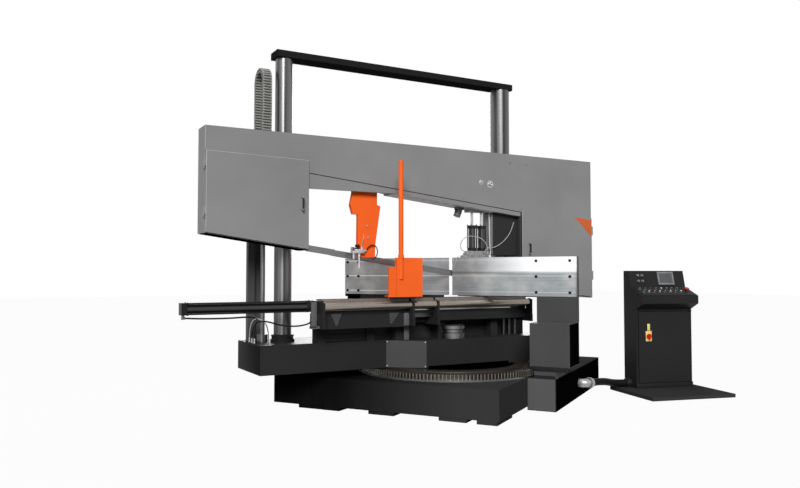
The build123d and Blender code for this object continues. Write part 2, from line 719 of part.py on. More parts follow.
# Cable chain: a looped-over strap of links with its two legs
chain_mid_y = (chain_y0 + chain_y1) / 2
chain_r = (chain_y1 - chain_y0) / 2
chain_outer = chain_r + chain_thick / 2
chain_inner = chain_r - chain_thick / 2
leg_mid_z = (chain_centre_z + chain_low_z) / 2
leg_length = chain_centre_z - chain_low_z
arc_links = 10
with BuildPart() as cable_chain:
    with BuildSketch(Plane.YZ.offset(chain_x - chain_width / 2)):
        with Locations((chain_mid_y, chain_centre_z)):
            Circle(chain_outer)
        with Locations((chain_mid_y, leg_mid_z)):
            Rectangle(2 * chain_outer, leg_length)
        with Locations((chain_mid_y, chain_centre_z)):
            Circle(chain_inner, mode=Mode.SUBTRACT)
        with Locations((chain_mid_y, chain_centre_z - leg_length)):
            Rectangle(2 * chain_inner, 2 * leg_length, mode=Mode.SUBTRACT)
        with Locations((chain_mid_y, chain_low_z - chain_r)):
            Rectangle(4 * chain_r, 2 * chain_r, mode=Mode.SUBTRACT)
    extrude(amount=chain_width)
    with BuildSketch(Plane.YZ.offset(chain_x - chain_width)):
        for k in range(arc_links + 1):
            a = pi * k / arc_links
            at = (chain_mid_y + chain_outer * cos(a), chain_centre_z + chain_outer * sin(a))
            with Locations(Location(at, degrees(a))):
                Rectangle(*chain_notch)
        for k in range(1, int(leg_length / chain_link)):
            notch_z = chain_centre_z - k * chain_link
            with Locations((chain_mid_y - chain_outer, notch_z), (chain_mid_y + chain_outer, notch_z)):
                Rectangle(*chain_notch)
    extrude(amount=2 * chain_width, mode=Mode.SUBTRACT)
cable_chain.part.label = "cable_chain"
export_step(cable_chain.part, "parts/cable_chain.step")

# Bow frame: hollow beam with a wheel box at each end, canted below, and hinge pins on the end walls
bow_outline = [
    (bow_left_x, bow_top_z), (bow_right_x, bow_top_z), (bow_right_x, blade_z(bow_right_x) - box_under),
    (box_right_x, blade_z(box_right_x) - box_under), (box_right_x, beam_z(box_right_x)),
    (box_left_x, beam_z(box_left_x)), (box_left_x, blade_z(box_left_x) - box_under),
    (bow_left_x, blade_z(bow_left_x) - box_under),
]
left_seam = (2549.0, 2525.0)
right_seam = (2150.0, 2078.0)
slot_half = 45.0
hinge_y = bow_front_y - door_gap - door_thick / 2
left_hinge_x = bow_left_x - hinge_out
right_hinge_x = bow_right_x + hinge_out
left_hinge_z = (1950.0, 2400.0)
right_hinge_z = (1350.0, 1900.0)
knuckle_len = 80.0
bow_depth = bow_back_y - bow_front_y
sill = 15.0
slot_over = 20.0
hinge_lug = 30.0
lug_skin = 6.0
rail_x0, rail_x1 = -1740.0, -790.0
lip_x0, lip_x1 = rail_x1 - bow_wall, box_right_x - bow_wall
left_hole = (bow_left_x + door_lap, box_left_x - door_lap)
right_hole = (box_right_x + door_lap, bow_right_x - door_lap)
with BuildPart() as bow_frame:
    with BuildSketch(front_plane(bow_back_y)):
        Polygon(*bow_outline, align=None)
    extrude(amount=bow_depth)
    with BuildSketch(front_plane(bow_back_y)):
        Polygon((rail_x1, beam_z(rail_x1)), (box_right_x, beam_z(box_right_x)),
                (box_right_x, lip_z(box_right_x)), (rail_x1, lip_z(rail_x1)), align=None)
    extrude(amount=bow_back_y - lip_front_y)
    with BuildSketch(front_plane(bow_back_y - bow_wall)):
        Polygon((lip_x0, beam_z(rail_x1)), (lip_x1, beam_z(lip_x1)), (lip_x1, lip_z(lip_x1) + bow_wall),
                (lip_x0, lip_z(lip_x0) + bow_wall), align=None)
    extrude(amount=bow_back_y - lip_front_y - 2 * bow_wall, mode=Mode.SUBTRACT)
    with BuildSketch(front_plane(bow_back_y - bow_wall)):
        with BuildLine():
            Polyline(*bow_outline, close=True)
            offset(amount=-bow_wall, kind=Kind.INTERSECTION, mode=Mode.REPLACE)
        make_face()
    extrude(amount=bow_depth - 2 * bow_wall, mode=Mode.SUBTRACT)
    with BuildSketch(front_plane(bow_front_y + 2 * bow_wall)):
        for (a, b), seam in ((left_hole, left_seam), (right_hole, right_seam)):
            Polygon((a, seam[0] - door_lap), (b, seam[1] - door_lap), (b, blade_z(b) + sill),
                    (a, blade_z(a) + sill), align=None)
    extrude(amount=4 * bow_wall, mode=Mode.SUBTRACT)
    with Locations(*[(x, 0, blade_z(x) + slot_half / 2) for x in (box_left_x, box_right_x)]):
        Box(4 * bow_wall, 2 * slot_half, slot_half + slot_over, mode=Mode.SUBTRACT)
    for hx, wall_x, levels in ((left_hinge_x, bow_left_x, left_hinge_z),
                               (right_hinge_x, bow_right_x, right_hinge_z)):
        for hz in levels:
            with BuildSketch(Plane(origin=(hx, hinge_y, hz - hinge_lug))):
                Circle(hinge_pin_dia / 2)
            extrude(amount=knuckle_len + hinge_lug)
            with BuildSketch(Plane(origin=(hx, hinge_y, hz - hinge_lug))):
                Circle(knuckle_dia / 2)
                with Locations(((wall_x - hx) / 2, door_thick / 2 + lug_skin)):
                    Rectangle(abs(wall_x - hx), door_thick + 2 * lug_skin)
            extrude(amount=hinge_lug - slip_clearance)
bow_frame.part.label = "bow_frame"
export_step(bow_frame.part, "parts/bow_frame.step")

# Doors over the wheel boxes, with a C handle and the hinge knuckles
door_edge = 8.0
door_back = bow_front_y - door_gap
handle_reach = 40.0
handle_len = 120.0
handle_rod = 14.0
handle_root = 2.0
left_grip_inset, left_grip_z = 75.0, 2085.0
right_grip_inset, right_grip_z = 95.0, 1690.0
grip_low = (handle_len + handle_rod) / 2
door_front = door_back - door_thick
FACE_X, FACE_OUT = (1, 0, 0), (0, -1, 0)
with BuildPart() as left_door:
    x0, x1 = bow_left_x + door_edge, box_left_x - door_edge
    with BuildSketch(front_plane(door_back)):
        Polygon((x0, left_seam[0]), (x1, left_seam[1]), (x1, blade_z(x1) - box_under + door_edge),
                (x0, blade_z(x0) - box_under + door_edge), align=None)
    extrude(amount=door_thick)
    for hz in left_hinge_z:
        with BuildSketch(Plane(origin=(left_hinge_x, hinge_y, hz))):
            Circle(knuckle_dia / 2)
            with Locations(((hinge_out + door_edge) / 2, -knuckle_dia / 4)):
                Rectangle(hinge_out + door_edge + handle_root, knuckle_dia / 2)
            Circle(hinge_pin_dia / 2 + run_clearance, mode=Mode.SUBTRACT)
        extrude(amount=knuckle_len)
    grip_x, grip_z = x1 - left_grip_inset, left_grip_z
    for hz in (grip_z - handle_len / 2, grip_z + handle_len / 2):
        with BuildSketch(Plane(origin=(grip_x, door_front + handle_root, hz), x_dir=FACE_X, z_dir=FACE_OUT)):
            Circle(handle_rod / 2)
        extrude(amount=handle_reach + handle_root)
    with BuildSketch(Plane(origin=(grip_x, door_front - handle_reach, grip_z - grip_low))):
        Circle(handle_rod / 2)
    extrude(amount=handle_len + handle_rod)
left_door.part.label = "left_door"
export_step(left_door.part, "parts/left_door.step")

with BuildPart() as right_door:
    x0, x1 = box_right_x + door_edge, bow_right_x - door_edge
    with BuildSketch(front_plane(door_back)):
        Polygon((x0, right_seam[0]), (x1, right_seam[1]), (x1, blade_z(x1) - box_under + door_edge),
                (x0, blade_z(x0) - box_under + door_edge), align=None)
    extrude(amount=door_thick)
    for hz in right_hinge_z:
        with BuildSketch(Plane(origin=(right_hinge_x, hinge_y, hz))):
            Circle(knuckle_dia / 2)
            with Locations((-(hinge_out + door_edge) / 2, -knuckle_dia / 4)):
                Rectangle(hinge_out + door_edge + handle_root, knuckle_dia / 2)
            Circle(hinge_pin_dia / 2 + run_clearance, mode=Mode.SUBTRACT)
        extrude(amount=knuckle_len)
    grip_x, grip_z = x0 + right_grip_inset, right_grip_z
    for hz in (grip_z - handle_len / 2, grip_z + handle_len / 2):
        with BuildSketch(Plane(origin=(grip_x, door_front + handle_root, hz), x_dir=FACE_X, z_dir=FACE_OUT)):
            Circle(handle_rod / 2)
        extrude(amount=handle_reach + handle_root)
    with BuildSketch(Plane(origin=(grip_x, door_front - handle_reach, grip_z - grip_low))):
        Circle(handle_rod / 2)
    extrude(amount=handle_len + handle_rod)
right_door.part.label = "right_door"
export_step(right_door.part, "parts/right_door.step")

# Band wheels and their axles
rim_wall = 62.0
hub_dia = 170.0
wheel_width = 70.0
hub_width = 110.0
web_thick = 18.0
axle_end = 8.0
axle_shoulder = 45.0
wheel_holes = 5
wheel_hole_dia = 170.0
with BuildPart() as wheel_axles:
    for c in (idler, driver):
        with BuildSketch(Plane(origin=(c.X, bow_back_y - bow_wall, c.Z), x_dir=(1, 0, 0), z_dir=(0, -1, 0))):
            Circle(axle_dia / 2)
        extrude(amount=bow_back_y - bow_wall + hub_width / 2 + axle_end)
        with BuildSketch(Plane(origin=(c.X, bow_back_y - bow_wall, c.Z), x_dir=(1, 0, 0), z_dir=(0, -1, 0))):
            Circle(axle_dia / 2 + axle_shoulder)
        extrude(amount=bow_back_y - bow_wall - hub_width / 2 - slip_clearance)
wheel_axles.part.label = "wheel_axles"
export_step(wheel_axles.part, "parts/wheel_axles.step")

tyre_radius = wheel_radius - slip_clearance
with BuildPart() as idler_wheel:
    with Locations((idler.X, 0, idler.Z)):
        Cylinder(tyre_radius, wheel_width, rotation=(90, 0, 0))
        Cylinder(tyre_radius - rim_wall, 2 * wheel_width, rotation=(90, 0, 0), mode=Mode.SUBTRACT)
        Cylinder(tyre_radius - rim_wall / 2, web_thick, rotation=(90, 0, 0))
        Cylinder(hub_dia / 2, hub_width, rotation=(90, 0, 0))
        Cylinder(axle_dia / 2 + run_clearance, 2 * hub_width, rotation=(90, 0, 0), mode=Mode.SUBTRACT)
    with BuildSketch(Plane(origin=(idler.X, wheel_width, idler.Z), x_dir=(1, 0, 0), z_dir=(0, -1, 0))):
        with PolarLocations((hub_dia / 2 + tyre_radius - rim_wall) / 2, wheel_holes):
            Circle(wheel_hole_dia / 2)
    extrude(amount=2 * wheel_width, mode=Mode.SUBTRACT)
idler_wheel.part.label = "idler_wheel"
export_step(idler_wheel.part, "parts/idler_wheel.step")

with BuildPart() as drive_wheel:
    with Locations((driver.X, 0, driver.Z)):
        Cylinder(tyre_radius, wheel_width, rotation=(90, 0, 0))
        Cylinder(tyre_radius - rim_wall, 2 * wheel_width, rotation=(90, 0, 0), mode=Mode.SUBTRACT)
        Cylinder(tyre_radius - rim_wall / 2, web_thick, rotation=(90, 0, 0))
        Cylinder(hub_dia / 2, hub_width, rotation=(90, 0, 0))
        Cylinder(axle_dia / 2 + run_clearance, 2 * hub_width, rotation=(90, 0, 0), mode=Mode.SUBTRACT)
    with BuildSketch(Plane(origin=(driver.X, wheel_width, driver.Z), x_dir=(1, 0, 0), z_dir=(0, -1, 0))):
        with PolarLocations((hub_dia / 2 + tyre_radius - rim_wall) / 2, wheel_holes):
            Circle(wheel_hole_dia / 2)
    extrude(amount=2 * wheel_width, mode=Mode.SUBTRACT)
drive_wheel.part.label = "drive_wheel"
export_step(drive_wheel.part, "parts/drive_wheel.step")

# Saw blade: a band round both wheels, turned upright between the guides
band_mid = (idler + driver) * 0.5
centre_dist = (driver - idler).length
flat_left, up_left, up_right, flat_right = -1700.0, -1400.0, 520.0, 800.0
turns = 6


def run_point(x):
    return Vector(x, 0, blade_z(x)) - run_up * (blade_thick / 2)


def run_plane(x, angle):
    across = Vector(0, cos(radians(angle)), 0) + run_up * sin(radians(angle))
    return Plane(origin=run_point(x), x_dir=across, z_dir=run_dir)


with BuildPart() as blade:
    with BuildSketch(Plane(origin=(band_mid.X, blade_width / 2, band_mid.Z), x_dir=run_dir, z_dir=FACE_OUT)):
        SlotCenterToCenter(centre_dist, 2 * (wheel_radius + blade_thick))
        SlotCenterToCenter(centre_dist, 2 * wheel_radius, mode=Mode.SUBTRACT)
    extrude(amount=blade_width)
    mid_x = (flat_left + flat_right) / 2
    with Locations(Location(tuple(run_point(mid_x)), (0, degrees(theta), 0))):
        Box((flat_right - flat_left) / cos(theta), 2 * blade_width, 12 * blade_thick, mode=Mode.SUBTRACT)
    for k in range(turns + 1):
        with BuildSketch(run_plane(flat_left + (up_left - flat_left) * k / turns, 90 * k / turns)):
            Rectangle(blade_width, blade_thick)
    loft(ruled=True)
    with BuildSketch(run_plane(up_left, 90)):
        Rectangle(blade_width, blade_thick)
    extrude(amount=(up_right - up_left) / cos(theta))
    for k in range(turns + 1):
        with BuildSketch(run_plane(up_right + (flat_right - up_right) * k / turns, 90 - 90 * k / turns)):
            Rectangle(blade_width, blade_thick)
    loft(ruled=True)
blade.part.label = "blade"
export_step(blade.part, "parts/blade.step")

# Column sleeves behind the bow
sleeve_y = bow_back_y + sleeve_depth / 2
sleeve_top_z = bow_top_z - sleeve_drop
left_sleeve_z, right_sleeve_z = 1950.0, 2150.0
with BuildPart() as column_sleeves:
    for cx, dia, z0 in ((left_column_x, left_column_dia, left_sleeve_z),
                        (right_column_x, right_column_dia, right_sleeve_z)):
        with Locations((cx, sleeve_y, (z0 + sleeve_top_z) / 2)):
            Box(sleeve_width, sleeve_depth, sleeve_top_z - z0)
        with Locations((cx, column_y, (z0 + bow_top_z) / 2)):
            Cylinder(dia / 2 + run_clearance, 3 * bow_top_z, mode=Mode.SUBTRACT)
column_sleeves.part.label = "column_sleeves"
export_step(column_sleeves.part, "parts/column_sleeves.step")

# Lift barrels that run on the rods, each with a lug on the back of the bow or of the right sleeve
lug_thick = 50.0
lug_rise = 10.0
lug_width = 90.0
lug_over = 40.0
left_barrel_z = left_sleeve_z + lug_rise
right_barrel_z = 1650.0
lifts = ((left_lift_x, left_lift_y, left_barrel_z, left_sleeve_z, bow_back_y),
         (right_lift_x, right_lift_y, right_barrel_z, right_sleeve_z, bow_back_y + sleeve_depth))
with BuildPart() as lift_barrels:
    for lx, ly, low_z, sleeve_z, root_y in lifts:
        with BuildSketch(Plane(origin=(lx, ly, low_z))):
            Circle(lift_barrel_dia / 2)
        extrude(amount=lift_barrel_top - low_z)
        with Locations((lx, (root_y + ly + lug_over) / 2, sleeve_z + lug_rise + lug_thick / 2)):
            Box(lug_width, ly + lug_over - root_y, lug_thick)
        with BuildSketch(Plane(origin=(lx, ly, low_z))):
            Circle(lift_rod_dia / 2 + run_clearance)
        extrude(amount=lift_barrel_top - lift_cap - low_z, mode=Mode.SUBTRACT)
lift_barrels.part.label = "lift_barrels"
export_step(lift_barrels.part, "parts/lift_barrels.step")

# Bracket on the bow for the moving leg of the cable chain
chain_grip = 400.0
chain_grip_drop = 25.0
with BuildPart() as chain_bracket:
    leg_face = chain_y0 - chain_thick / 2 - slip_clearance
    with Locations((chain_x, (bow_back_y + leg_face) / 2, bow_top_z - chain_grip_drop - chain_grip / 2)):
        Box(chain_width, leg_face - bow_back_y, chain_grip)
chain_bracket.part.label = "chain_bracket"
export_step(chain_bracket.part, "parts/chain_bracket.step")

# Gearbox and motor behind the drive wheel, and the housing beside the right box
gear_box = 380.0
gear_depth = 360.0
gear_round = 40.0
with BuildPart() as gearbox:
    with Locations((driver.X, bow_back_y + gear_depth / 2, driver.Z)):
        Box(gear_box, gear_depth, gear_box)
    fillet(gearbox.edges().filter_by(Axis.Y), radius=gear_round)
gearbox.part.label = "gearbox"
export_step(gearbox.part, "parts/gearbox.step")

drive_motor_dia = 260.0
drive_motor_len = 430.0
drive_flange = (20.0, 30.0)
with BuildPart() as drive_motor:
    with BuildSketch(Plane(origin=(driver.X, bow_back_y + gear_depth / 2, driver.Z + gear_box / 2))):
        Circle(drive_motor_dia / 2 + drive_flange[0])
    extrude(amount=drive_flange[1])
    with BuildSketch(Plane(origin=(driver.X, bow_back_y + gear_depth / 2, driver.Z + gear_box / 2))):
        Circle(drive_motor_dia / 2)
    extrude(amount=drive_motor_len)
drive_motor.part.label = "drive_motor"
export_step(drive_motor.part, "parts/drive_motor.step")

housing_x0, housing_z0, housing_round = 540.0, 1610.0, 12.0
with BuildPart() as drive_housing:
    with BuildSketch(front_plane(bow_back_y)):
        Polygon((housing_x0, housing_z0), (box_right_x, housing_z0), (box_right_x, lip_z(box_right_x)),
                (housing_x0, lip_z(housing_x0)), align=None)
    extrude(amount=bow_back_y - lip_front_y)
    fillet(drive_housing.edges().filter_by(Axis.Z), radius=housing_round)
drive_housing.part.label = "drive_housing"
export_step(drive_housing.part, "parts/drive_housing.step")

# Guide rail under the beam, its lower edge parallel to the blade, behind a level cover plate
rail_front, rail_back = -30.0, 60.0
rail_low_left = 2385.0
cover_z = 2250.0
cover_y0, cover_y1 = -76.0, -64.0


def rail_z(x):
    return rail_low_left - cant * (x - rail_x0)


with BuildPart() as guide_rail:
    with BuildSketch(front_plane(rail_back)):
        Polygon((rail_x0, beam_z(rail_x0)), (rail_x1, beam_z(rail_x1)), (rail_x1, rail_z(rail_x1)),
                (rail_x0, rail_z(rail_x0)), align=None)
    extrude(amount=rail_back - rail_front)
    with BuildSketch(front_plane(cover_y1)):
        Polygon((box_left_x, beam_z(box_left_x)), (rail_x1, beam_z(rail_x1)), (rail_x1, cover_z),
                (box_left_x, cover_z), align=None)
    extrude(amount=cover_y1 - cover_y0)
guide_rail.part.label = "guide_rail"
export_step(guide_rail.part, "parts/guide_rail.step")

# Left guide arm under the rail: a shoe that follows the rail and a tapered arm with a lobe at its left
shoe_x0, shoe_x1 = -1243.0, -960.0
shoe_thick = 45.0
arm_front, arm_back = -58.0, -12.0
arm_outline = [(-1243.0, 2240.0), (-1272.0, 2110.0), (-1243.0, 2015.0), (-1182.0, 2012.0), (-1186.0, 1700.0),
               (-1140.0, 1565.0), (-985.0, 1565.0), (-981.0, 1700.0), (-921.0, 2107.0), (-960.0, 2123.0)]
with BuildPart() as guide_arm_left:
    with BuildSketch(front_plane(rail_back)):
        Polygon((shoe_x0, rail_z(shoe_x0) - slip_clearance), (shoe_x1, rail_z(shoe_x1) - slip_clearance),
                (shoe_x1, rail_z(shoe_x1) - shoe_thick), (shoe_x0, rail_z(shoe_x0) - shoe_thick), align=None)
    extrude(amount=rail_back - arm_front)
    with BuildSketch(front_plane(arm_back)):
        Polygon((shoe_x0, rail_z(shoe_x0) - shoe_thick / 2), *arm_outline,
                (shoe_x1, rail_z(shoe_x1) - shoe_thick / 2), align=None)
    extrude(amount=arm_back - arm_front)
guide_arm_left.part.label = "guide_arm_left"
export_step(guide_arm_left.part, "parts/guide_arm_left.step")

# Guide head with a slot for the blade
head_x0, head_x1 = -1225.0, -1010.0
head_back = 34.0
head_over, head_under = 95.0, 15.0
slot = blade_thick + 2 * slip_clearance
slot_run, slot_drop, slot_head = 9.0, 90.0, 1.0


def slot_corners(x0, x1):
    a, b = x0 - slot_run, x1 + slot_run
    over = blade_width / 2 + slot_head
    return [(a, blade_z(a) + over), (b, blade_z(b) + over),
            (b, blade_z(b) - slot_drop), (a, blade_z(a) - slot_drop)]


with BuildPart() as guide_head_left:
    with BuildSketch(front_plane(head_back)):
        Polygon((head_x0, blade_z(head_x0) + head_over), (head_x1, blade_z(head_x1) + head_over),
                (head_x1, blade_z(head_x1) - head_under), (head_x0, blade_z(head_x0) - head_under),
                align=None)
    extrude(amount=head_back - arm_back)
    with BuildSketch(front_plane(slot / 2)):
        Polygon(*slot_corners(head_x0, head_x1), align=None)
    extrude(amount=slot, mode=Mode.SUBTRACT)
guide_head_left.part.label = "guide_head_left"
export_step(guide_head_left.part, "parts/guide_head_left.step")

# Right guide fixed under the beam: hanger plate, rods, two rams and a slotted head
fix_x0, fix_x1 = 216.0, 495.0
fix_half = 45.0
fix_mid = (fix_x0 + fix_x1) / 2
block_top_z, block_low_z = 1655.0, 1320.0
ram_top_z, hanger_z = 1945.0, 2095.0
ram_dia, ram_rod_dia, ram_spread = 80.0, 30.0, 130.0
with BuildPart() as guide_arm_right:
    with BuildSketch(front_plane(fix_half)):
        Polygon((fix_x0, lip_z(fix_x0)), (fix_x1, lip_z(fix_x1)), (fix_x1, hanger_z), (fix_x0, hanger_z),
                align=None)
    extrude(amount=2 * fix_half)
    with BuildSketch(Plane.XY.offset(block_top_z)):
        with Locations((fix_mid - ram_spread / 2, 0), (fix_mid + ram_spread / 2, 0)):
            Circle(ram_dia / 2)
    extrude(amount=ram_top_z - block_top_z)
    with BuildSketch(Plane.XY.offset(ram_top_z)):
        with Locations((fix_mid - ram_spread / 2, 0), (fix_mid + ram_spread / 2, 0)):
            Circle(ram_rod_dia / 2)
    extrude(amount=hanger_z - ram_top_z)
    with Locations((fix_mid, 0, (block_low_z + block_top_z) / 2)):
        Box(fix_x1 - fix_x0, 2 * fix_half, block_top_z - block_low_z)
    with BuildSketch(front_plane(slot / 2)):
        Polygon(*slot_corners(fix_x0, fix_x1), align=None)
    extrude(amount=slot, mode=Mode.SUBTRACT)
guide_arm_right.part.label = "guide_arm_right"
export_step(guide_arm_right.part, "parts/guide_arm_right.step")

# Work lamp under the beam
lamp_x, lamp_half, lamp_drop = 118.0, 40.0, 32.0
lamp_dia, lamp_length, lamp_tilt = 76.0, 92.0, 22.0
lamp_neck_z = lip_z(lamp_x) - lamp_drop
neck_x0, neck_x1 = lamp_x - lamp_half, lamp_x + lamp_half
lamp_rise = lamp_dia / 2 * sin(radians(lamp_tilt))
with BuildPart() as work_lamp:
    with BuildSketch(front_plane(lamp_half)):
        Polygon((neck_x0, lip_z(neck_x0)), (neck_x1, lip_z(neck_x1)), (neck_x1, lamp_neck_z),
                (neck_x0, lamp_neck_z), align=None)
    extrude(amount=2 * lamp_half)
    tilt = Vector(-sin(radians(lamp_tilt)), 0, -cos(radians(lamp_tilt)))
    with BuildSketch(Plane(origin=(lamp_x, 0, lamp_neck_z + lamp_rise), z_dir=tilt)):
        Circle(lamp_dia / 2)
    extrude(amount=lamp_length)
work_lamp.part.label = "work_lamp"
export_step(work_lamp.part, "parts/work_lamp.step")

# Console: floor plate, cabinet with a sloped desk, door, screen, switch and emergency stop
plate_x0, plate_x1, plate_y0 = -200.0, 865.0, -615.0
with BuildPart(CONSOLE) as console_plate:
    with Locations(((plate_x0 + plate_x1) / 2, (plate_y0 + console_depth) / 2, plate_height / 2)):
        Box(plate_x1 - plate_x0, console_depth - plate_y0, plate_height)
console_plate.part.label = "console_plate"
export_step(console_plate.part, "parts/console_plate.step")

nose, desk_y, top_y = -140.0, 105.0, 154.0
neck_z0 = console_height - 460.0
nose_z0 = console_height - 388.0
nose_z1 = console_height - 297.0
desk_z = console_height - 196.0
side_profile = [(0, plate_height), (0, neck_z0), (nose, nose_z0), (nose, nose_z1), (desk_y, desk_z),
                (top_y, console_height), (console_depth, console_height), (console_depth, plate_height)]
SIDE = Plane(origin=CONSOLE.origin, x_dir=CONSOLE.y_dir, z_dir=CONSOLE.x_dir)
door_margin, door_sill, door_head = 25.0, 65.0, 30.0
door_x0, door_x1 = door_margin, console_width - door_margin
door_z0, door_z1 = plate_height + door_sill, neck_z0 - door_head
leaf = 16.0
barrel_r = 8.0
hinge_pin_r = 4.0
hinge_bite = 30.0
lug_half = 10.0
lug_height = 14.0
cabinet_hinge_y = -(door_gap + leaf)
with BuildPart() as console_cabinet:
    with BuildSketch(SIDE):
        Polygon(*side_profile, align=None)
    extrude(amount=console_width)
    with BuildSketch(SIDE.offset(cabinet_wall)):
        with BuildLine():
            Polyline(*side_profile, close=True)
            offset(amount=-cabinet_wall, kind=Kind.INTERSECTION, mode=Mode.REPLACE)
        make_face()
    extrude(amount=console_width - 2 * cabinet_wall, mode=Mode.SUBTRACT)
    with BuildSketch(Plane(origin=CONSOLE.origin, x_dir=CONSOLE.x_dir, z_dir=-CONSOLE.y_dir)):
        with Locations(((door_x0 + door_x1) / 2, (door_z0 + door_z1) / 2)):
            Rectangle(door_x1 - door_x0 - 2 * door_margin, door_z1 - door_z0 - 2 * door_margin)
    extrude(amount=4 * cabinet_wall, both=True, mode=Mode.SUBTRACT)
    for lug_z, pin_z in ((door_z1 + slip_clearance + lug_height / 2, door_z1 - hinge_bite),
                         (door_z0 - slip_clearance - lug_height / 2, door_z0 + hinge_bite)):
        with BuildSketch(level(lug_z - lug_height / 2)):
            with Locations((door_x1, (cabinet_hinge_y - lug_half) / 2)):
                Rectangle(2 * lug_half, lug_half - cabinet_hinge_y)
        extrude(amount=lug_height)
        with BuildSketch(level(min(lug_z, pin_z))):
            with Locations((door_x1, cabinet_hinge_y)):
                Circle(hinge_pin_r)
        extrude(amount=abs(lug_z - pin_z))
console_cabinet.part.label = "console_cabinet"
export_step(console_cabinet.part, "parts/console_cabinet.step")

FRONT = Plane(origin=CONSOLE.origin, x_dir=CONSOLE.x_dir, z_dir=-CONSOLE.y_dir)
switch_x, switch_z = 155.0, 650.0
switch_shaft_r, switch_root = 8.0, 2.0
switch_disc_r, switch_disc = 34.0, 12.0
switch_grip = (18.0, 62.0, 22.0)
with BuildPart() as console_door:
    with BuildSketch(FRONT.offset(door_gap)):
        with Locations(((door_x0 + door_x1) / 2, (door_z0 + door_z1) / 2)):
            Rectangle(door_x1 - door_x0, door_z1 - door_z0)
    extrude(amount=leaf)
    with BuildSketch(FRONT.offset(door_gap)):
        with Locations((switch_x, switch_z)):
            Circle(switch_shaft_r + run_clearance)
    extrude(amount=leaf, mode=Mode.SUBTRACT)
    with BuildSketch(level(door_z0)):
        with Locations((door_x1, cabinet_hinge_y)):
            Circle(barrel_r)
    extrude(amount=door_z1 - door_z0)
    for bore_z in (door_z0, door_z1 - hinge_bite - slip_clearance):
        with BuildSketch(level(bore_z)):
            with Locations((door_x1, cabinet_hinge_y)):
                Circle(hinge_pin_r + run_clearance)
        extrude(amount=hinge_bite + slip_clearance, mode=Mode.SUBTRACT)
console_door.part.label = "console_door"
export_step(console_door.part, "parts/console_door.step")

with BuildPart() as main_switch:
    with BuildSketch(FRONT.offset(door_gap + switch_root)):
        with Locations((switch_x, switch_z)):
            Circle(switch_shaft_r)
    extrude(amount=leaf)
    with BuildSketch(FRONT.offset(door_gap + leaf + slip_clearance)):
        with Locations((switch_x, switch_z)):
            Circle(switch_disc_r)
    extrude(amount=switch_disc)
    with BuildSketch(FRONT.offset(door_gap + leaf + switch_disc)):
        with Locations((switch_x, switch_z)):
            Rectangle(*switch_grip[:2])
    extrude(amount=switch_grip[2])
main_switch.part.label = "main_switch"
export_step(main_switch.part, "parts/main_switch.step")

slope_dir = (CONSOLE.y_dir * (desk_y - nose) + Vector(0, 0, desk_z - nose_z1)).normalized()
slope_up = CONSOLE.x_dir.cross(slope_dir)
slope_origin = CONSOLE.origin + CONSOLE.y_dir * nose + Vector(0, 0, nose_z1)
DESK = Plane(origin=slope_origin, x_dir=CONSOLE.x_dir, z_dir=slope_up)
slope_len = hypot(desk_y - nose, desk_z - nose_z1)
stop_x = console_width - 80.0
stop_shaft, stop_shaft_len = 22.0, 26.0
stop_travel, stop_neck = 6.0, 10.0
stop_head_r, stop_head, stop_round = 30.0, 20.0, 6.0
desk_thick = 8.0
desk_edge = (20.0, 8.0)
button_x0, button_pitch, buttons = 70.0, 72.0, 8
button_r, button_height = 15.0, 14.0
button_rows = (slope_len * 0.35, slope_len * 0.68)
with BuildPart() as console_desk:
    with BuildSketch(DESK):
        with Locations((console_width / 2, slope_len / 2)):
            Rectangle(console_width - 2 * desk_edge[0], slope_len - 2 * desk_edge[1])
    extrude(amount=desk_thick)
    with BuildSketch(DESK.offset(desk_thick)):
        with Locations(*[(button_x0 + button_pitch * k, v) for k in range(buttons) for v in button_rows]):
            Circle(button_r)
    extrude(amount=button_height)
    with BuildSketch(DESK):
        with Locations((stop_x, slope_len / 2)):
            Circle(stop_shaft / 2 + run_clearance)
    extrude(amount=desk_thick, mode=Mode.SUBTRACT)
console_desk.part.label = "console_desk"
export_step(console_desk.part, "parts/console_desk.step")

with BuildPart() as emergency_stop:
    with BuildSketch(DESK.offset(stop_travel + slip_clearance)):
        with Locations((stop_x, slope_len / 2)):
            Circle(stop_shaft / 2)
    extrude(amount=stop_shaft_len)
    with BuildSketch(DESK.offset(desk_thick + stop_travel + slip_clearance + stop_neck)):
        with Locations((stop_x, slope_len / 2)):
            Circle(stop_head_r)
    extrude(amount=stop_head)
    fillet(emergency_stop.edges().filter_by(GeomType.CIRCLE).group_by(SortBy.RADIUS)[-1], radius=stop_round)
emergency_stop.part.label = "emergency_stop"
export_step(emergency_stop.part, "parts/emergency_stop.step")

panel_dir = (CONSOLE.y_dir * (top_y - desk_y) + Vector(0, 0, console_height - desk_z)).normalized()
PANEL = Plane(
    origin=CONSOLE.origin + CONSOLE.y_dir * desk_y + Vector(0, 0, desk_z),
    x_dir=CONSOLE.x_dir, z_dir=CONSOLE.x_dir.cross(panel_dir))
screen_x, panel_mid = 490.0, 105.0
screen_size, screen_round, screen_thick = (225.0, 165.0), 10.0, 14.0
lamp_places = [(x, panel_mid + v) for x in (110.0, 165.0) for v in (35.0, -35.0)]
lamp_r, lamp_height = 16.0, 22.0
with BuildPart() as console_screen:
    with BuildSketch(PANEL):
        with Locations((screen_x, panel_mid)):
            RectangleRounded(*screen_size, screen_round)
    extrude(amount=screen_thick)
    with BuildSketch(PANEL):
        with Locations(*lamp_places):
            Circle(lamp_r)
    extrude(amount=lamp_height)
console_screen.part.label = "console_screen"
export_step(console_screen.part, "parts/console_screen.step")

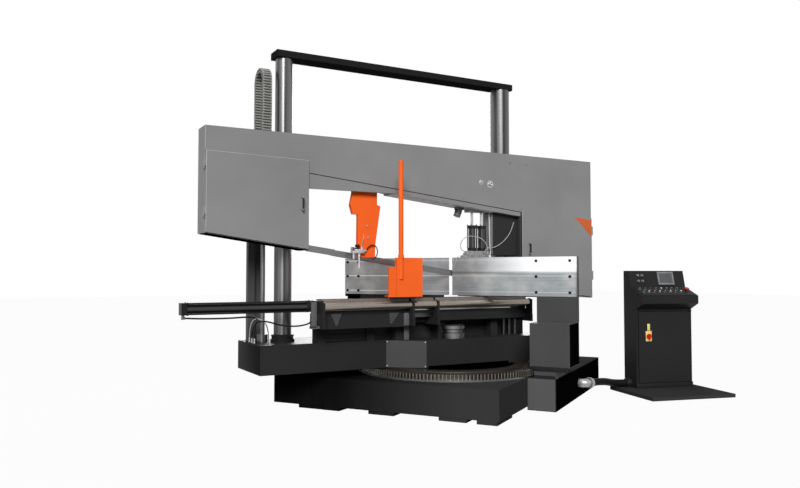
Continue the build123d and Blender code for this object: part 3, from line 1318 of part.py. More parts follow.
# Conduit from the outrigger to the console, with an elbow fitting at the machine and a gland at the console
side_s = base_s1 + outrigger_width
fs, fc = sin(radians(fence_angle)), cos(radians(fence_angle))
out_dir = Vector(fc, fs, 0)
back_dir = Vector(-fs, fc, 0)
seat = out_dir * side_s + back_dir * gland_t + Vector(0, 0, conduit_seat_z)
into = CONSOLE.x_dir
away = Vector(cos(radians(conduit_heading)), sin(radians(conduit_heading)), 0)
elbow_r = 95.0
lead = 30.0
elbow_reach = elbow_r * tan(radians((conduit_heading - fence_angle) / 2)) + lead
corner = seat + out_dir * elbow_reach
elbow_end = corner + away * elbow_reach
entry = CONSOLE.origin + CONSOLE.y_dir * conduit_entry_y + Vector(0, 0, conduit_entry_z)
gland_len = 60.0
hose_end = entry - into * gland_len
with BuildPart() as cable_glands:
    with BuildLine() as elbow_path:
        FilletPolyline(seat, corner, elbow_end, radius=elbow_r)
    with BuildSketch(Plane(origin=seat, z_dir=out_dir)):
        Circle(gland_dia / 2)
    sweep(path=elbow_path.wires()[0])
    with BuildSketch(Plane(origin=hose_end, z_dir=into)):
        Circle(gland_dia / 2)
    extrude(amount=gland_len)
cable_glands.part.label = "cable_glands"
export_step(cable_glands.part, "parts/cable_glands.step")

span = (hose_end - elbow_end).length
start_share, end_share, bend_share = 0.3, 0.22, 0.45
hose_points = [elbow_end, elbow_end + away * span * start_share, hose_end - into * span * end_share, hose_end]
hose_radii = []
for p, q, r in zip(hose_points, hose_points[1:], hose_points[2:]):
    turn = (q - p).get_angle(r - q)
    hose_radii.append(bend_share * min((q - p).length, (r - q).length) / tan(radians(turn / 2)))
with BuildPart() as conduit:
    with BuildLine() as hose_path:
        FilletPolyline(*hose_points, radius=hose_radii)
    with BuildSketch(Plane(origin=elbow_end, z_dir=away)):
        Circle(conduit_dia / 2)
    sweep(path=hose_path.wires()[0])
conduit.part.label = "conduit"
export_step(conduit.part, "parts/conduit.step")
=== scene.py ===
from math import cos, pi, radians, sin

import bmesh
import bpy
from mathutils import Matrix, Vector


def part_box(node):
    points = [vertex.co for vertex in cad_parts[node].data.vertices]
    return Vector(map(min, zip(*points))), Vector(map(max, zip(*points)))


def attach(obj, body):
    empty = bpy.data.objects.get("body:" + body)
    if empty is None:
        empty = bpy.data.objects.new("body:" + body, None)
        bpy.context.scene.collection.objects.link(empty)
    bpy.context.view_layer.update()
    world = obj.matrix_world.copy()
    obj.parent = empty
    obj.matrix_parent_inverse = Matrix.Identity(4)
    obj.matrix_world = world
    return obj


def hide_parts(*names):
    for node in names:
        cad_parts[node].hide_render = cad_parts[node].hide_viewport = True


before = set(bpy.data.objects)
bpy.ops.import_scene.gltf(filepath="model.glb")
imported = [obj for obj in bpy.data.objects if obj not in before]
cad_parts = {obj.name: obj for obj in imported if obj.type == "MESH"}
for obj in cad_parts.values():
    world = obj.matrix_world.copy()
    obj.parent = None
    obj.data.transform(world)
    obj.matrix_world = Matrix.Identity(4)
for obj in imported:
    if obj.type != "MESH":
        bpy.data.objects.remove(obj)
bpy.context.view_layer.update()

bl_info = {
    "name": "Double mitre band saw",
    "version": (1, 0, 0),
    "blender": (4, 5, 0),
    "location": "View3D > Sidebar > Band saw",
    "description": "Dresses the packed saw with finishes, fittings and a studio",
    "category": "Object",
}

# Directions
RIGHT, FRONT, UP = Vector((1, 0, 0)), Vector((0, -1, 0)), Vector((0, 0, 1))

# Lines of the fence, the blade and the bow's beam
FENCE_TURN = radians(-55.0)
BLADE_Z0, CANT = 1.405, 0.142
BEAM_LEFT_X, BEAM_LEFT_Z, BEAM_FALL = -1.76, 2.404, 0.1068
LIP_DROP, LIP_LEFT_X = 0.055, -0.79

# Levels and faces read from the frame, where the hinge pins stand out in front of the bow's face
BED_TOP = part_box("swivel_frame")[1].z
JAW_FOOT, JAW_TOP = (corner.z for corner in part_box("fence_jaw_left"))
HOUSING_LOW, HOUSING_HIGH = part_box("drive_housing")
LEFT_DOOR_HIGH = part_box("left_door")[1]
PIN_REACH = 0.018
BOW_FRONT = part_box("bow_frame")[0].y + PIN_REACH

# Front of the doors' sheets and the line of their grips
DOOR_FRONT, GRIP_LINE = -0.150, -0.190

# Levels of the fixed guide's rams and of their hanger's foot
RAM_FOOT, RAM_TOP, HANGER_FOOT = 1.656, 1.944, 2.094

# The console's place and its two sloping panels
CONSOLE = Matrix.Translation((2.170, -0.675, 0.0)) @ Matrix.Rotation(radians(-14.0), 4, "Z")
DESK_LOW, DESK_HIGH = Vector((0, -0.14, 1.133)), Vector((0, 0.105, 1.234))
HEAD_LOW, HEAD_HIGH = DESK_HIGH, Vector((0, 0.154, 1.43))


def blade_z(x):
    """Height of the blade line at x."""
    return BLADE_Z0 - CANT * x


def beam_z(x):
    """Height of the beam's lower edge at x."""
    return BEAM_LEFT_Z - BEAM_FALL * (x - BEAM_LEFT_X)


def fence_point(s, t, z):
    """A point given along and across the fence."""
    c, n = cos(FENCE_TURN), sin(FENCE_TURN)
    return Vector((s * c - t * n, s * n + t * c, z))


def middle_of(name):
    """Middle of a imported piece's box."""
    low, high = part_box(name)
    return (low + high) / 2


def length_setting(name, description, default):
    """A length that can be changed."""
    return bpy.props.FloatProperty(name=name, description=description, default=default, unit="LENGTH")


def colour_setting(name, description, default):
    """A paint colour that can be changed."""
    return bpy.props.FloatVectorProperty(name=name, description=description, default=default, subtype="COLOR")


class SawSizes(bpy.types.PropertyGroup):
    """Sizes that can be changed."""
    bolt_head: length_setting("Bolt head", "Diameter of the trim bolts", 0.022)
    link_length: length_setting("Chain link", "Length of a cable chain link", 0.028)
    conduit_diameter: length_setting("Conduit", "Diameter of the conduit", 0.084)


class SawColours(bpy.types.PropertyGroup):
    """Paint colours that can be changed."""
    bow: colour_setting("Bow", "Paint of the bow", (0.25, 0.25, 0.251))
    base: colour_setting("Base", "Paint of the base", (0.010, 0.010, 0.0104))
    bed: colour_setting("Swivel frame", "Paint of the swivel frame", (0.0252, 0.0252, 0.0257))
    accent: colour_setting("Accent", "Paint of jaw and guide arm", (0.98, 0.138, 0.022))
    console: colour_setting("Console", "Paint of the console", (0.019, 0.019, 0.0195))


class Value:
    """A node socket that takes part in sums."""

    def __init__(self, finish, socket):
        self.finish, self.socket = finish, socket

    def _math(self, kind, a, b=0.0):
        return self.finish.node("ShaderNodeMath", {"operation": kind}, {0: a, 1: b}).out(0)

    def __add__(self, other):
        return self._math("ADD", self, other)

    def __radd__(self, other):
        return self._math("ADD", other, self)

    def __sub__(self, other):
        return self._math("SUBTRACT", self, other)

    def __rsub__(self, other):
        return self._math("SUBTRACT", other, self)

    def __mul__(self, other):
        return self._math("MULTIPLY", self, other)

    def __rmul__(self, other):
        return self._math("MULTIPLY", other, self)

    def __abs__(self):
        return self._math("ABSOLUTE", self)

    def above(self, edge):
        return self._math("GREATER_THAN", self, edge)

    def below(self, edge):
        return self._math("LESS_THAN", self, edge)

    def most(self, other):
        return self._math("MAXIMUM", self, other)

    def wave(self, pitch):
        """A sine with the given pitch."""
        return self._math("SINE", self * (2 * pi / pitch))


class Made:
    """A node with its outputs as values."""

    def __init__(self, finish, node):
        self.finish, self.made = finish, node

    def out(self, key):
        return Value(self.finish, self.made.outputs[key])


class Finish:
    """One procedural material on Object coordinates, or the world's nodes."""

    def __init__(self, name, tree=None):
        if tree is None:
            self.material = bpy.data.materials.new(name)
            self.material.use_nodes = True
            tree = self.material.node_tree
        self.tree = tree
        tree.nodes.clear()

    def node(self, kind, settings=None, sockets=None):
        made = self.tree.nodes.new(kind)
        for key, value in (settings or {}).items():
            if key == "stops":
                ramp = made.color_ramp
                while len(ramp.elements) < len(value):
                    ramp.elements.new(0.5)
                for element, (at, tint) in zip(ramp.elements, value):
                    element.position, element.color = at, (*tint, 1.0)
            else:
                setattr(made, key, value)
        for key, value in (sockets or {}).items():
            socket = made.inputs[key]
            if isinstance(value, Value):
                self.tree.links.new(value.socket, socket)
            else:
                socket.default_value = value
        return Made(self, made)

    def coords(self, scale=(1, 1, 1), turn=0.0, move=(0, 0)):
        """Object coordinates, stretched, turned about Z and moved along X and Y."""
        where = self.node("ShaderNodeTexCoord").out("Object")
        return self.node("ShaderNodeMapping", {"vector_type": "TEXTURE"}, {
            "Vector": where, "Rotation": (0, 0, turn), "Location": (*move, 0.0),
            "Scale": tuple(1.0 / s for s in scale)}).out("Vector")

    def noise(self, coords, scale, detail=4.0, rough=0.55):
        return self.node("ShaderNodeTexNoise", {"noise_dimensions": "3D"}, {
            "Vector": coords, "Scale": scale, "Detail": detail, "Roughness": rough}).out(0)

    def mix(self, factor, a, b):
        a, b = (c if isinstance(c, Value) else (*c, 1.0) for c in (a, b))
        return self.node("ShaderNodeMix", {"data_type": "RGBA"}, {0: factor, 6: a, 7: b}).out(2)

    def ramp(self, factor, stops):
        return self.node("ShaderNodeValToRGB", {"stops": stops}, {0: factor}).out(0)

    def fit(self, value, a, b, c, d):
        """A value's range from a to b fitted to the range from c to d."""
        return self.node("ShaderNodeMapRange", {"clamp": True}, {0: value, 1: a, 2: b, 3: c, 4: d}).out(0)

    def spread(self, noise, c=0.0, d=1.0):
        """The middle of a noise fitted to the range from c to d."""
        return self.fit(noise, 0.3, 0.7, c, d)

    def band(self, value, middle, half):
        """One on the middle of a band, falling to nothing at half its width."""
        return self.fit(abs(value - middle), half * 0.6, half, 1.0, 0.0)

    def axes(self, coords):
        split = self.node("ShaderNodeSeparateXYZ", None, {0: coords})
        return split.out(0), split.out(1), split.out(2)

    def bump(self, height, strength, distance=0.0004):
        return self.node("ShaderNodeBump", None,
                         {"Strength": strength, "Distance": distance, "Height": height}).out(0)

    def seen(self):
        """One for rays that show the background: from the camera, in gloss and through glass."""
        path = self.node("ShaderNodeLightPath")
        gloss = path.out("Is Camera Ray").most(path.out("Is Glossy Ray"))
        return gloss.most(path.out("Is Transmission Ray"))

    def surface(self, **sockets):
        named = {k.replace("_", " "): v for k, v in sockets.items()}
        shader = self.node("ShaderNodeBsdfPrincipled", None, named).out(0)
        self.node("ShaderNodeOutputMaterial", None, {0: shader})
        return self.material


def shade(colour, k):
    """A colour made darker or paler."""
    return tuple(min(1.0, c * k) for c in colour)


def grey(level):
    """A neutral colour."""
    return (level,) * 3


# Dust colour, the dark colour of painted shade on a foot, and how high dust reaches
DUST, FOOT_SHADE, DUST_TOP = (0.06, 0.058, 0.055), grey(0.015), 0.45
# Darkest and palest tones of a painted shade that lightens along the fence
SHADE_DRIFT_DARK, SHADE_DRIFT_PALE = 0.3, 3.8


def painted(name, colour, rough=0.45, dust=0.0, peel=0.1, sheen=0.06, drift=None, foot=None):
    """Sprayed paint: orange peel, cloudiness and handling marks, and if asked dust, a painted shade that
    lightens along the fence and a dark foot of painted shade.
    """
    f = Finish(name)
    where = f.coords()
    cloud = f.noise(where, 1.3, 3.0)
    fine = f.noise(where, 260.0, 2.0)
    smear = f.noise(f.coords(scale=(1.0, 1.0, 0.25)), 9.0, 5.0)
    # Painted shade: when asked, the tone goes from dark to pale along the fence instead of the cloudy tone
    if drift:
        along = f.axes(f.coords(turn=FENCE_TURN))[0]
        tone = f.mix(f.fit(along, *drift, 0.0, 1.0), shade(colour, SHADE_DRIFT_DARK), shade(colour, SHADE_DRIFT_PALE))
    else:
        tone = f.mix(f.spread(cloud), shade(colour, 0.9), shade(colour, 1.08))
    if dust:
        low = f.fit(f.axes(where)[2], 0.0, DUST_TOP, dust, 0.0)
        tone = f.mix(low * f.spread(smear, 0.3, 1.0), tone, DUST)
    # Painted shade: the paint is dark below the foot level
    if foot:
        tone = f.mix(f.axes(where)[2].below(foot), tone, FOOT_SHADE)
    marks = f.fit(smear, 0.62, 0.75, 0.0, 0.1)
    return f.surface(Base_Color=tone, Roughness=f.fit(cloud, 0.2, 0.8, rough - 0.05, rough + 0.06) + marks,
                     Normal=f.bump(fine, peel, 0.0006), Specular_IOR_Level=sheen)


def brushed(name, colour, along=(0.25, 60.0, 60.0), rough=0.3, metal=1.0):
    """Ground steel with fine lines along one direction."""
    f = Finish(name)
    lines = f.noise(f.coords(scale=along), 6.0, 6.0, 0.7)
    cloud = f.noise(f.coords(), 2.2, 3.0)
    tone = f.mix(f.spread(lines), shade(colour, 0.78), shade(colour, 1.12))
    tone = f.mix(f.fit(cloud, 0.35, 0.7, 0.0, 0.35), tone, shade(colour, 0.7))
    return f.surface(Base_Color=tone, Metallic=metal, Normal=f.bump(lines, 0.06),
                     Roughness=f.fit(lines, 0.2, 0.8, rough - 0.07, rough + 0.1))


def machined(name, colour):
    """Planed jaw plate: long grinding lines, pale tool bands by height and a bright outer end, a painted
    highlight on its upper part.
    """
    f = Finish(name)
    along, _, height = f.axes(f.coords(turn=FENCE_TURN))
    lines = f.noise(f.coords(scale=(0.3, 40.0, 40.0), turn=FENCE_TURN), 5.0, 6.0, 0.7)
    cloud = f.noise(f.coords(scale=(1.2, 1.0, 1.6), turn=FENCE_TURN), 2.6, 4.0)
    level = (height - JAW_FOOT) * (1.0 / (JAW_TOP - JAW_FOOT))
    right = along.above(0.0)
    cool = (colour[0] * 1.05, colour[1] * 1.18, colour[2] * 1.26)
    tone = f.mix(f.fit(along, -0.75, -0.55, 0.0, 1.0), colour, cool)
    tone = f.mix(f.band(along, -0.3, 0.35) * 0.6, tone, shade(cool, 1.5))
    tone = f.mix(f.spread(lines, 0.0, 0.5), tone, shade(colour, 0.6))
    tone = f.mix(f.fit(cloud, 0.45, 0.68, 0.0, 0.55), tone, shade(colour, 1.9))
    for groove, half, share in ((0.1, 0.012, 0.7), (0.515, 0.014, 0.8), (0.93, 0.03, 0.35)):
        tone = f.mix(f.band(level, groove, half) * share * (1 - right * 0.6), tone, (0.85, 0.86, 0.87))
    tone = f.mix(f.band(level, 0.6, 0.035) * right * 0.55, tone, shade(colour, 0.45))
    # Painted highlight: near white on the upper part of the plate's outer end
    painted_glare = f.fit(along, 0.3, 0.95, 0.0, 1.0) * f.fit(level, 0.56, 0.66, 0.0, 1.0)
    tone = f.mix(painted_glare, tone, (0.97, 0.98, 1.0))
    return f.surface(Base_Color=tone, Metallic=0.85, Roughness=f.fit(lines, 0.2, 0.8, 0.36, 0.52),
                     Normal=f.bump(lines, 0.05))


# Painted reflection on chrome: tone of each dark and bright stripe by its place round the bar
REFLECTION_STRIPES = ((0.0, 0.2), (0.2, 0.24), (0.28, 0.1), (0.34, 0.09), (0.38, 0.18), (0.46, 0.15), (0.5, 0.24),
           (0.54, 0.3), (0.57, 0.06), (0.62, 0.05), (0.68, 0.13), (0.8, 0.2), (0.9, 0.24), (1.0, 0.3))
# Painted reflection: its middle faces the key lamp and the camera, and it spreads this far each way
REFLECTION_MIDDLE, REFLECTION_HALF = -2.07, 1.5


def chromed(name, bright, centre):
    """Hard chrome on a ground bar: painted reflections as dark and bright stripes round the bar, with faint
    grinding marks.
    """
    f = Finish(name)
    x, y, _ = f.axes(f.coords(move=centre))
    turn = f.node("ShaderNodeMath", {"operation": "ARCTAN2"}, {0: y, 1: x}).out(0)
    marks = f.noise(f.coords(scale=(6, 6, 0.4)), 5.0, 3.0)
    round_bar = f.fit(turn - REFLECTION_MIDDLE, -REFLECTION_HALF, REFLECTION_HALF, 0.0, 1.0)
    painted_reflection = f.ramp(round_bar, [(at, grey(bright * level)) for at, level in REFLECTION_STRIPES])
    tone = f.mix(f.spread(marks, 0.0, 0.2), painted_reflection, grey(0.2 * bright))
    return f.surface(Base_Color=tone, Metallic=0.9, Roughness=f.spread(marks, 0.32, 0.42))


def guide_steel(name, hanger_colour):
    """Fixed guide: grey machined block, dark rams above it, bright rods and a painted hanger at the top."""
    f = Finish(name)
    height = f.axes(f.coords())[2]
    grain = f.noise(f.coords(scale=(30, 30, 4)), 4.0, 4.0)
    block = f.mix(f.spread(grain), (0.2, 0.2, 0.205), (0.33, 0.33, 0.335))
    ram = height.above(RAM_FOOT) * height.below(RAM_TOP)
    rod = height.above(RAM_TOP)
    hanger = height.above(HANGER_FOOT)
    tone = f.mix(ram, block, (0.03, 0.03, 0.032))
    tone = f.mix(rod, tone, (0.42, 0.42, 0.43))
    tone = f.mix(hanger, tone, hanger_colour)
    return f.surface(Base_Color=tone, Metallic=(rod - hanger) * 0.7, Roughness=f.spread(grain, 0.32, 0.45),
                     Normal=f.bump(grain, 0.05))


def ribbed(name, colour, pitch):
    """Corrugated conduit: rings across its length, with painted shade in the troughs between them."""
    f = Finish(name)
    where = f.coords()
    wave = f.axes(where)[0].wave(pitch)
    speck = f.noise(where, 220.0, 2.0)
    # Painted shade: darker in the troughs between the rings, paler on their crests
    tone = f.mix(f.fit(wave, -1.0, 1.0, 0.0, 1.0), shade(colour, 0.5), shade(colour, 1.3))
    return f.surface(Base_Color=tone, Roughness=f.fit(speck, 0.2, 0.8, 0.42, 0.58),
                     Normal=f.bump(wave, 0.6, 0.004), Specular_IOR_Level=0.04)


def linked(name, colour, pitch):
    """Chain side plates: pale links with a dark joint at each pitch."""
    f = Finish(name)
    where = f.coords()
    wave = f.axes(where)[2].wave(pitch)
    speck = f.noise(where, 200.0, 2.0)
    tone = f.mix(f.fit(wave, -0.4, 0.4, 1.0, 0.0), colour, shade(colour, 0.12))
    return f.surface(Base_Color=tone, Roughness=f.fit(speck, 0.2, 0.8, 0.45, 0.6),
                     Normal=f.bump(wave, 0.2, 0.002), Specular_IOR_Level=0.15)


def toothed(name, colour, tip_radius):
    """Cut gear: dark oiled roots and worn pale tips."""
    f = Finish(name)
    x, y, _ = f.axes(f.coords())
    tip = (x * x + y * y).above(tip_radius * tip_radius)
    grain = f.noise(f.coords(scale=(30, 30, 4)), 4.0, 4.0)
    tone = f.mix(f.spread(grain), shade(colour, 0.8), shade(colour, 1.2))
    tone = f.mix(tip * 0.55, tone, (0.34, 0.32, 0.28))
    return f.surface(Base_Color=tone, Metallic=0.9, Roughness=f.spread(grain, 0.34, 0.46),
                     Normal=f.bump(grain, 0.05))


def glanded(name, edge):
    """Plated glands at the outrigger, black ones at the console."""
    f = Finish(name)
    where = f.coords()
    grain = f.noise(where, 60.0, 3.0)
    far = f.axes(where)[0].above(edge)
    tone = f.mix(f.spread(grain), (0.26, 0.26, 0.265), (0.44, 0.44, 0.45))
    tone = f.mix(far, tone, (0.012, 0.012, 0.013))
    return f.surface(Base_Color=tone, Metallic=0.8 - far * 0.8, Roughness=f.spread(grain, 0.3, 0.42),
                     Normal=f.bump(grain, 0.06))


def tubed(name, colour, middle):
    """Ram tube between its tie rods: a pale line of painted highlight along the middle and dark upper and
    lower edges of painted shade.
    """
    f = Finish(name)
    lines = f.noise(f.coords(scale=(0.3, 60.0, 60.0)), 6.0, 5.0)
    off = abs(f.axes(f.coords())[2] - middle)
    # Painted shade: the upper and lower parts go dark
    tone = f.mix(f.fit(off, 0.01, 0.022, 0.0, 1.0), colour, shade(colour, 0.03))
    # Painted highlight: a pale line
    tone = f.mix(f.band(off, 0.041, 0.004) * 0.4, tone, shade(colour, 1.6))
    return f.surface(Base_Color=tone, Roughness=f.fit(lines, 0.2, 0.8, 0.32, 0.46),
                     Normal=f.bump(lines, 0.05), Specular_IOR_Level=0.04)


def cast(name, colour):
    """Rough casting under a thin coat of paint."""
    f = Finish(name)
    where = f.coords()
    grain = f.noise(where, 95.0, 5.0, 0.7)
    cloud = f.noise(where, 4.0, 3.0)
    tone = f.mix(f.spread(cloud), shade(colour, 0.8), shade(colour, 1.15))
    return f.surface(Base_Color=tone, Roughness=f.fit(grain, 0.2, 0.8, 0.5, 0.75),
                     Normal=f.bump(grain, 0.35, 0.0012), Specular_IOR_Level=0.1)


def moulded(name, colour, rough=0.45, depth=0.15):
    """Moulded plastic or rubber with a fine grain."""
    f = Finish(name)
    where = f.coords()
    speck = f.noise(where, 300.0, 2.0)
    cloud = f.noise(where, 12.0, 2.0)
    tone = f.mix(f.spread(cloud), shade(colour, 0.88), shade(colour, 1.1))
    return f.surface(Base_Color=tone, Roughness=f.fit(speck, 0.2, 0.8, rough - 0.06, rough + 0.08),
                     Normal=f.bump(speck, depth), Specular_IOR_Level=0.15)


FINISHES = {}
DARK_PLASTIC = (0.012, 0.012, 0.013)
ROUND_GRAIN = (30, 30, 4)
LIFT_ROD_AXIS = (-2.08, 0.33)


def keep(kind, name, *values, **named):
    """Makes a finish and keeps it by its name."""
    FINISHES[name] = kind(name, *values, **named)


def make_paints(c):
    """The paints."""
    keep(painted, "bow_paint", c.bow)
    keep(painted, "beam_paint", (0.018, 0.018, 0.0185), 0.55, sheen=0.0)
    # Jaw paint with painted shade on its foot, which sits under the table
    keep(painted, "jaw_paint", c.accent, foot=JAW_FOOT + 0.004)
    # Pale paint for painted highlights along the bow's edges
    keep(painted, "edge_paint", grey(0.46), 0.4)
    keep(painted, "bracket_paint", grey(0.11), 0.42)
    # Near black paint for painted shade on the bed's end
    keep(painted, "end_paint", (0.0035, 0.0035, 0.0036), 0.5, sheen=0.02)
    keep(painted, "bed_paint", c.bed, 0.4, sheen=0.02)
    # Base paint with dust, and a painted shade that darkens it towards the left along the fence
    keep(painted, "base_paint", c.base, 0.5, dust=0.1, sheen=0.0, drift=(-0.75, 0.6))
    keep(painted, "post_paint", (0.064, 0.064, 0.065))
    keep(painted, "cover_paint", (0.068, 0.066, 0.068))
    keep(painted, "outrigger_paint", (0.092, 0.09, 0.092))
    keep(painted, "black_paint", (0.018, 0.018, 0.019), 0.4)
    keep(painted, "housing_paint", (0.03, 0.029, 0.03), 0.5)
    keep(painted, "accent_paint", c.accent)
    keep(painted, "corner_paint", (0.56, 0.124, 0.038))
    keep(painted, "console_paint", c.console, 0.5, peel=0.25)
    # Pale paint for painted light under the lip
    keep(painted, "sole_paint", grey(0.85), 0.5)
    keep(painted, "seam_paint", shade(c.accent, 0.4), 0.5)
    keep(painted, "pale_plate", (0.75, 0.62, 0.2))
    # Black paint for painted shade under the left box and on the right sides of the outrigger and post
    keep(painted, "deep_black", (0.002, 0.002, 0.0021), 0.6, sheen=0.0)
    # Dark paint for painted shade in the right box and a painted shadow line under the beam
    keep(painted, "liner_paint", (0.04, 0.039, 0.04), 0.5, sheen=0.2)


def make_metals(c):
    """Steel, chrome and cast iron."""
    keep(machined, "jaw_plate", (0.31, 0.305, 0.30))
    keep(brushed, "bar_steel", grey(0.3), rough=0.35)
    keep(brushed, "roller_steel", (0.3, 0.265, 0.23), rough=0.26, metal=0.85)
    keep(brushed, "strip_steel", (0.17, 0.135, 0.11), rough=0.36, metal=0.4)
    keep(brushed, "pinion_steel", (0.16, 0.15, 0.14), along=(30, 30, 2), rough=0.4)
    keep(brushed, "hub_steel", grey(0.16), along=ROUND_GRAIN, rough=0.38)
    keep(brushed, "rail_steel", grey(0.08), rough=0.4)
    keep(brushed, "blade_steel", grey(0.2), rough=0.42)
    keep(brushed, "fitting_steel", (0.5, 0.5, 0.51), along=(20, 20, 20), metal=0.7)
    keep(brushed, "flange_steel", (0.35, 0.35, 0.34), along=(30, 30, 2))
    keep(toothed, "gear_steel", (0.075, 0.065, 0.055), tip_radius=0.985)
    keep(glanded, "gland_steel", edge=2.0)
    keep(guide_steel, "guide_steel", c.bow)
    # Chrome with painted reflections, on the columns and the rods
    keep(chromed, "left_chrome", 0.88, middle_of("column_left").xy)
    keep(chromed, "right_chrome", 0.72, middle_of("column_right").xy)
    keep(chromed, "rod_chrome", 1.0, LIFT_ROD_AXIS)
    keep(tubed, "barrel_tube", (0.055, 0.055, 0.056), middle_of("vise_barrel").z)
    keep(cast, "cast_iron", (0.05, 0.05, 0.052))


def make_plastics(link):
    """Plastic, rubber and glass, with the chain's pitch."""
    keep(moulded, "chain_plastic", (0.33, 0.335, 0.315), 0.5)
    keep(linked, "chain_sides", (0.28, 0.285, 0.265), link)
    keep(moulded, "black_plastic", DARK_PLASTIC, 0.4)
    keep(moulded, "lamp_grey", (0.12, 0.12, 0.122), 0.4)
    keep(moulded, "hose_rubber", DARK_PLASTIC, 0.5)
    keep(ribbed, "conduit_skin", DARK_PLASTIC, 0.016)
    keep(moulded, "red_plastic", (0.62, 0.02, 0.015), 0.3, depth=0.05)
    keep(moulded, "green_plastic", (0.03, 0.25, 0.06), 0.3, depth=0.05)
    keep(moulded, "lens_red", (0.3, 0.02, 0.015), 0.3, depth=0.05)
    keep(moulded, "white_pipe", (0.72, 0.71, 0.68), 0.4)
    keep(moulded, "pale_cable", (0.42, 0.42, 0.4))
    keep(moulded, "frame_silver", (0.19, 0.19, 0.195), 0.4)
    keep(moulded, "button_grey", grey(0.2), 0.35)
    keep(moulded, "screen_glass", (0.09, 0.095, 0.1), 0.15, depth=0.0)


NODE_FINISH = {
    "bow_paint": "bow_frame left_door right_door column_sleeves chain_bracket guide_rail lift_barrels",
    "beam_paint": "top_beam",
    "bed_paint": "swivel_frame table_frame chip_chute",
    "base_paint": "base_frame base_feet outrigger_beam left_post console_plate",
    "post_paint": "right_post right_bracket",
    "housing_paint": "drive_housing",
    "black_paint": "swivel_motor drive_motor jaw_bolts vise_caps column_collars",
    "cover_paint": "chain_post",
    "accent_paint": "jaw_bar guide_arm_left",
    "jaw_paint": "moving_jaw",
    "console_paint": "console_cabinet console_door console_desk",
    "jaw_plate": "fence_jaw_left fence_jaw_right",
    "roller_steel": "roller_left roller_middle roller_right",
    "gear_steel": "ring_gear slew_race",
    "pinion_steel": "swivel_pinion",
    "rail_steel": "vise_guide",
    "flange_steel": "slew_flange",
    "blade_steel": "blade",
    "bar_steel": "wheel_axles guide_head_left",
    "guide_steel": "guide_arm_right",
    "gland_steel": "cable_glands",
    "left_chrome": "column_left",
    "right_chrome": "column_right",
    "rod_chrome": "vise_rod lift_rods",
    "barrel_tube": "vise_barrel",
    "cast_iron": "gearbox drive_wheel idler_wheel",
    "chain_sides": "cable_chain",
    "lamp_grey": "work_lamp",
    "screen_glass": "console_screen",
    "red_plastic": "main_switch",
    "lens_red": "emergency_stop",
    "hose_rubber": "conduit",
}


def dress(obj, body, finish, slot):
    """Puts an object in the scene with its finish and its body; its slot is not used."""
    bpy.context.scene.collection.objects.link(obj)
    obj.data.materials.append(FINISHES[finish])
    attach(obj, body)
    return obj


def facing(at, out):
    """Matrix that puts a form made along Z at a place, along the direction out."""
    return Matrix.Translation(at) @ Vector(out).to_track_quat("Z", "Y").to_matrix().to_4x4()


class Piece:
    """A new piece: its forms are added in a with block, which ends with the finished object at the origin."""

    def __init__(self, name, body, finish, slot):
        self.name = name
        self.tied = (body, finish, slot)
        self.bm = bmesh.new()

    def __enter__(self):
        return self

    def __exit__(self, kind, error, trace):
        if kind is None:
            bmesh.ops.remove_doubles(self.bm, verts=self.bm.verts, dist=1e-6)
            bmesh.ops.recalc_face_normals(self.bm, faces=self.bm.faces)
            mesh = bpy.data.meshes.new(self.name)
            self.bm.to_mesh(mesh)
            mesh.shade_smooth()
            mesh.set_sharp_from_angle(angle=radians(35))
            dress(bpy.data.objects.new(self.name, mesh), *self.tied)
        self.bm.free()

    def box(self, low, high, rounding, turn=Matrix()):
        """A box between two corners, with rounded edges, then turned."""
        low, high = Vector(low), Vector(high)
        cube = bmesh.ops.create_cube(self.bm, size=1.0)["verts"]
        bmesh.ops.scale(self.bm, vec=high - low, verts=cube)
        bmesh.ops.translate(self.bm, vec=(low + high) / 2, verts=cube)
        edges = list({e for v in cube for e in v.link_edges})
        done = bmesh.ops.bevel(self.bm, geom=edges, offset=rounding, offset_type="OFFSET", segments=2,
                               profile=0.5, affect="EDGES", material=-1)
        bmesh.ops.transform(self.bm, matrix=turn, verts=list({v for f in done["faces"] for v in f.verts}))

    def rod(self, start, end, radius, sides):
        """A closed round or many-sided bar from one point to another."""
        start, end = Vector(start), Vector(end)
        axis = end - start
        made = bmesh.ops.create_cone(self.bm, cap_ends=True, segments=sides, radius1=radius, radius2=radius,
                                     depth=axis.length)["verts"]
        bmesh.ops.transform(self.bm, matrix=facing((start + end) / 2, axis), verts=made)

    def prism(self, corners, thick):
        """A flat plate with the given corners, as thick as the given vector."""
        face = self.bm.faces.new([self.bm.verts.new(p) for p in corners])
        grown = bmesh.ops.extrude_face_region(self.bm, geom=[face])["geom"]
        moved = [v for v in grown if isinstance(v, bmesh.types.BMVert)]
        bmesh.ops.translate(self.bm, vec=thick, verts=moved)

    def sheet(self, outline, y, depth):
        """A plate in the blade's plane: points of x and z, put at y and as deep as given."""
        self.prism([(x, y, z) for x, z in outline], (0, depth, 0))

    def turned(self, profile, at, out, steps=24):
        """A turned form: points of radius and height, spun about the direction out."""
        before = set(self.bm.verts)
        verts = [self.bm.verts.new((radius, 0.0, height)) for radius, height in profile]
        edges = [self.bm.edges.new(pair) for pair in zip(verts, verts[1:])]
        bmesh.ops.spin(self.bm, geom=verts + edges, cent=(0, 0, 0), axis=UP, angle=2 * pi, steps=steps,
                       use_merge=True)
        made = [v for v in self.bm.verts if v not in before]
        bmesh.ops.transform(self.bm, matrix=facing(at, out), verts=made)

    def bolt(self, at, out, head):
        """A socket cap screw: a round head with a recess for its key."""
        rim, height, key = head / 2, head * 0.55, head * 0.27
        self.turned(((0.0, 0.0), (rim, 0.0), (rim, height * 0.85), (head * 0.44, height), (key, height),
                     (key, height * 0.5), (0.0, height * 0.5)), at, out, 12)


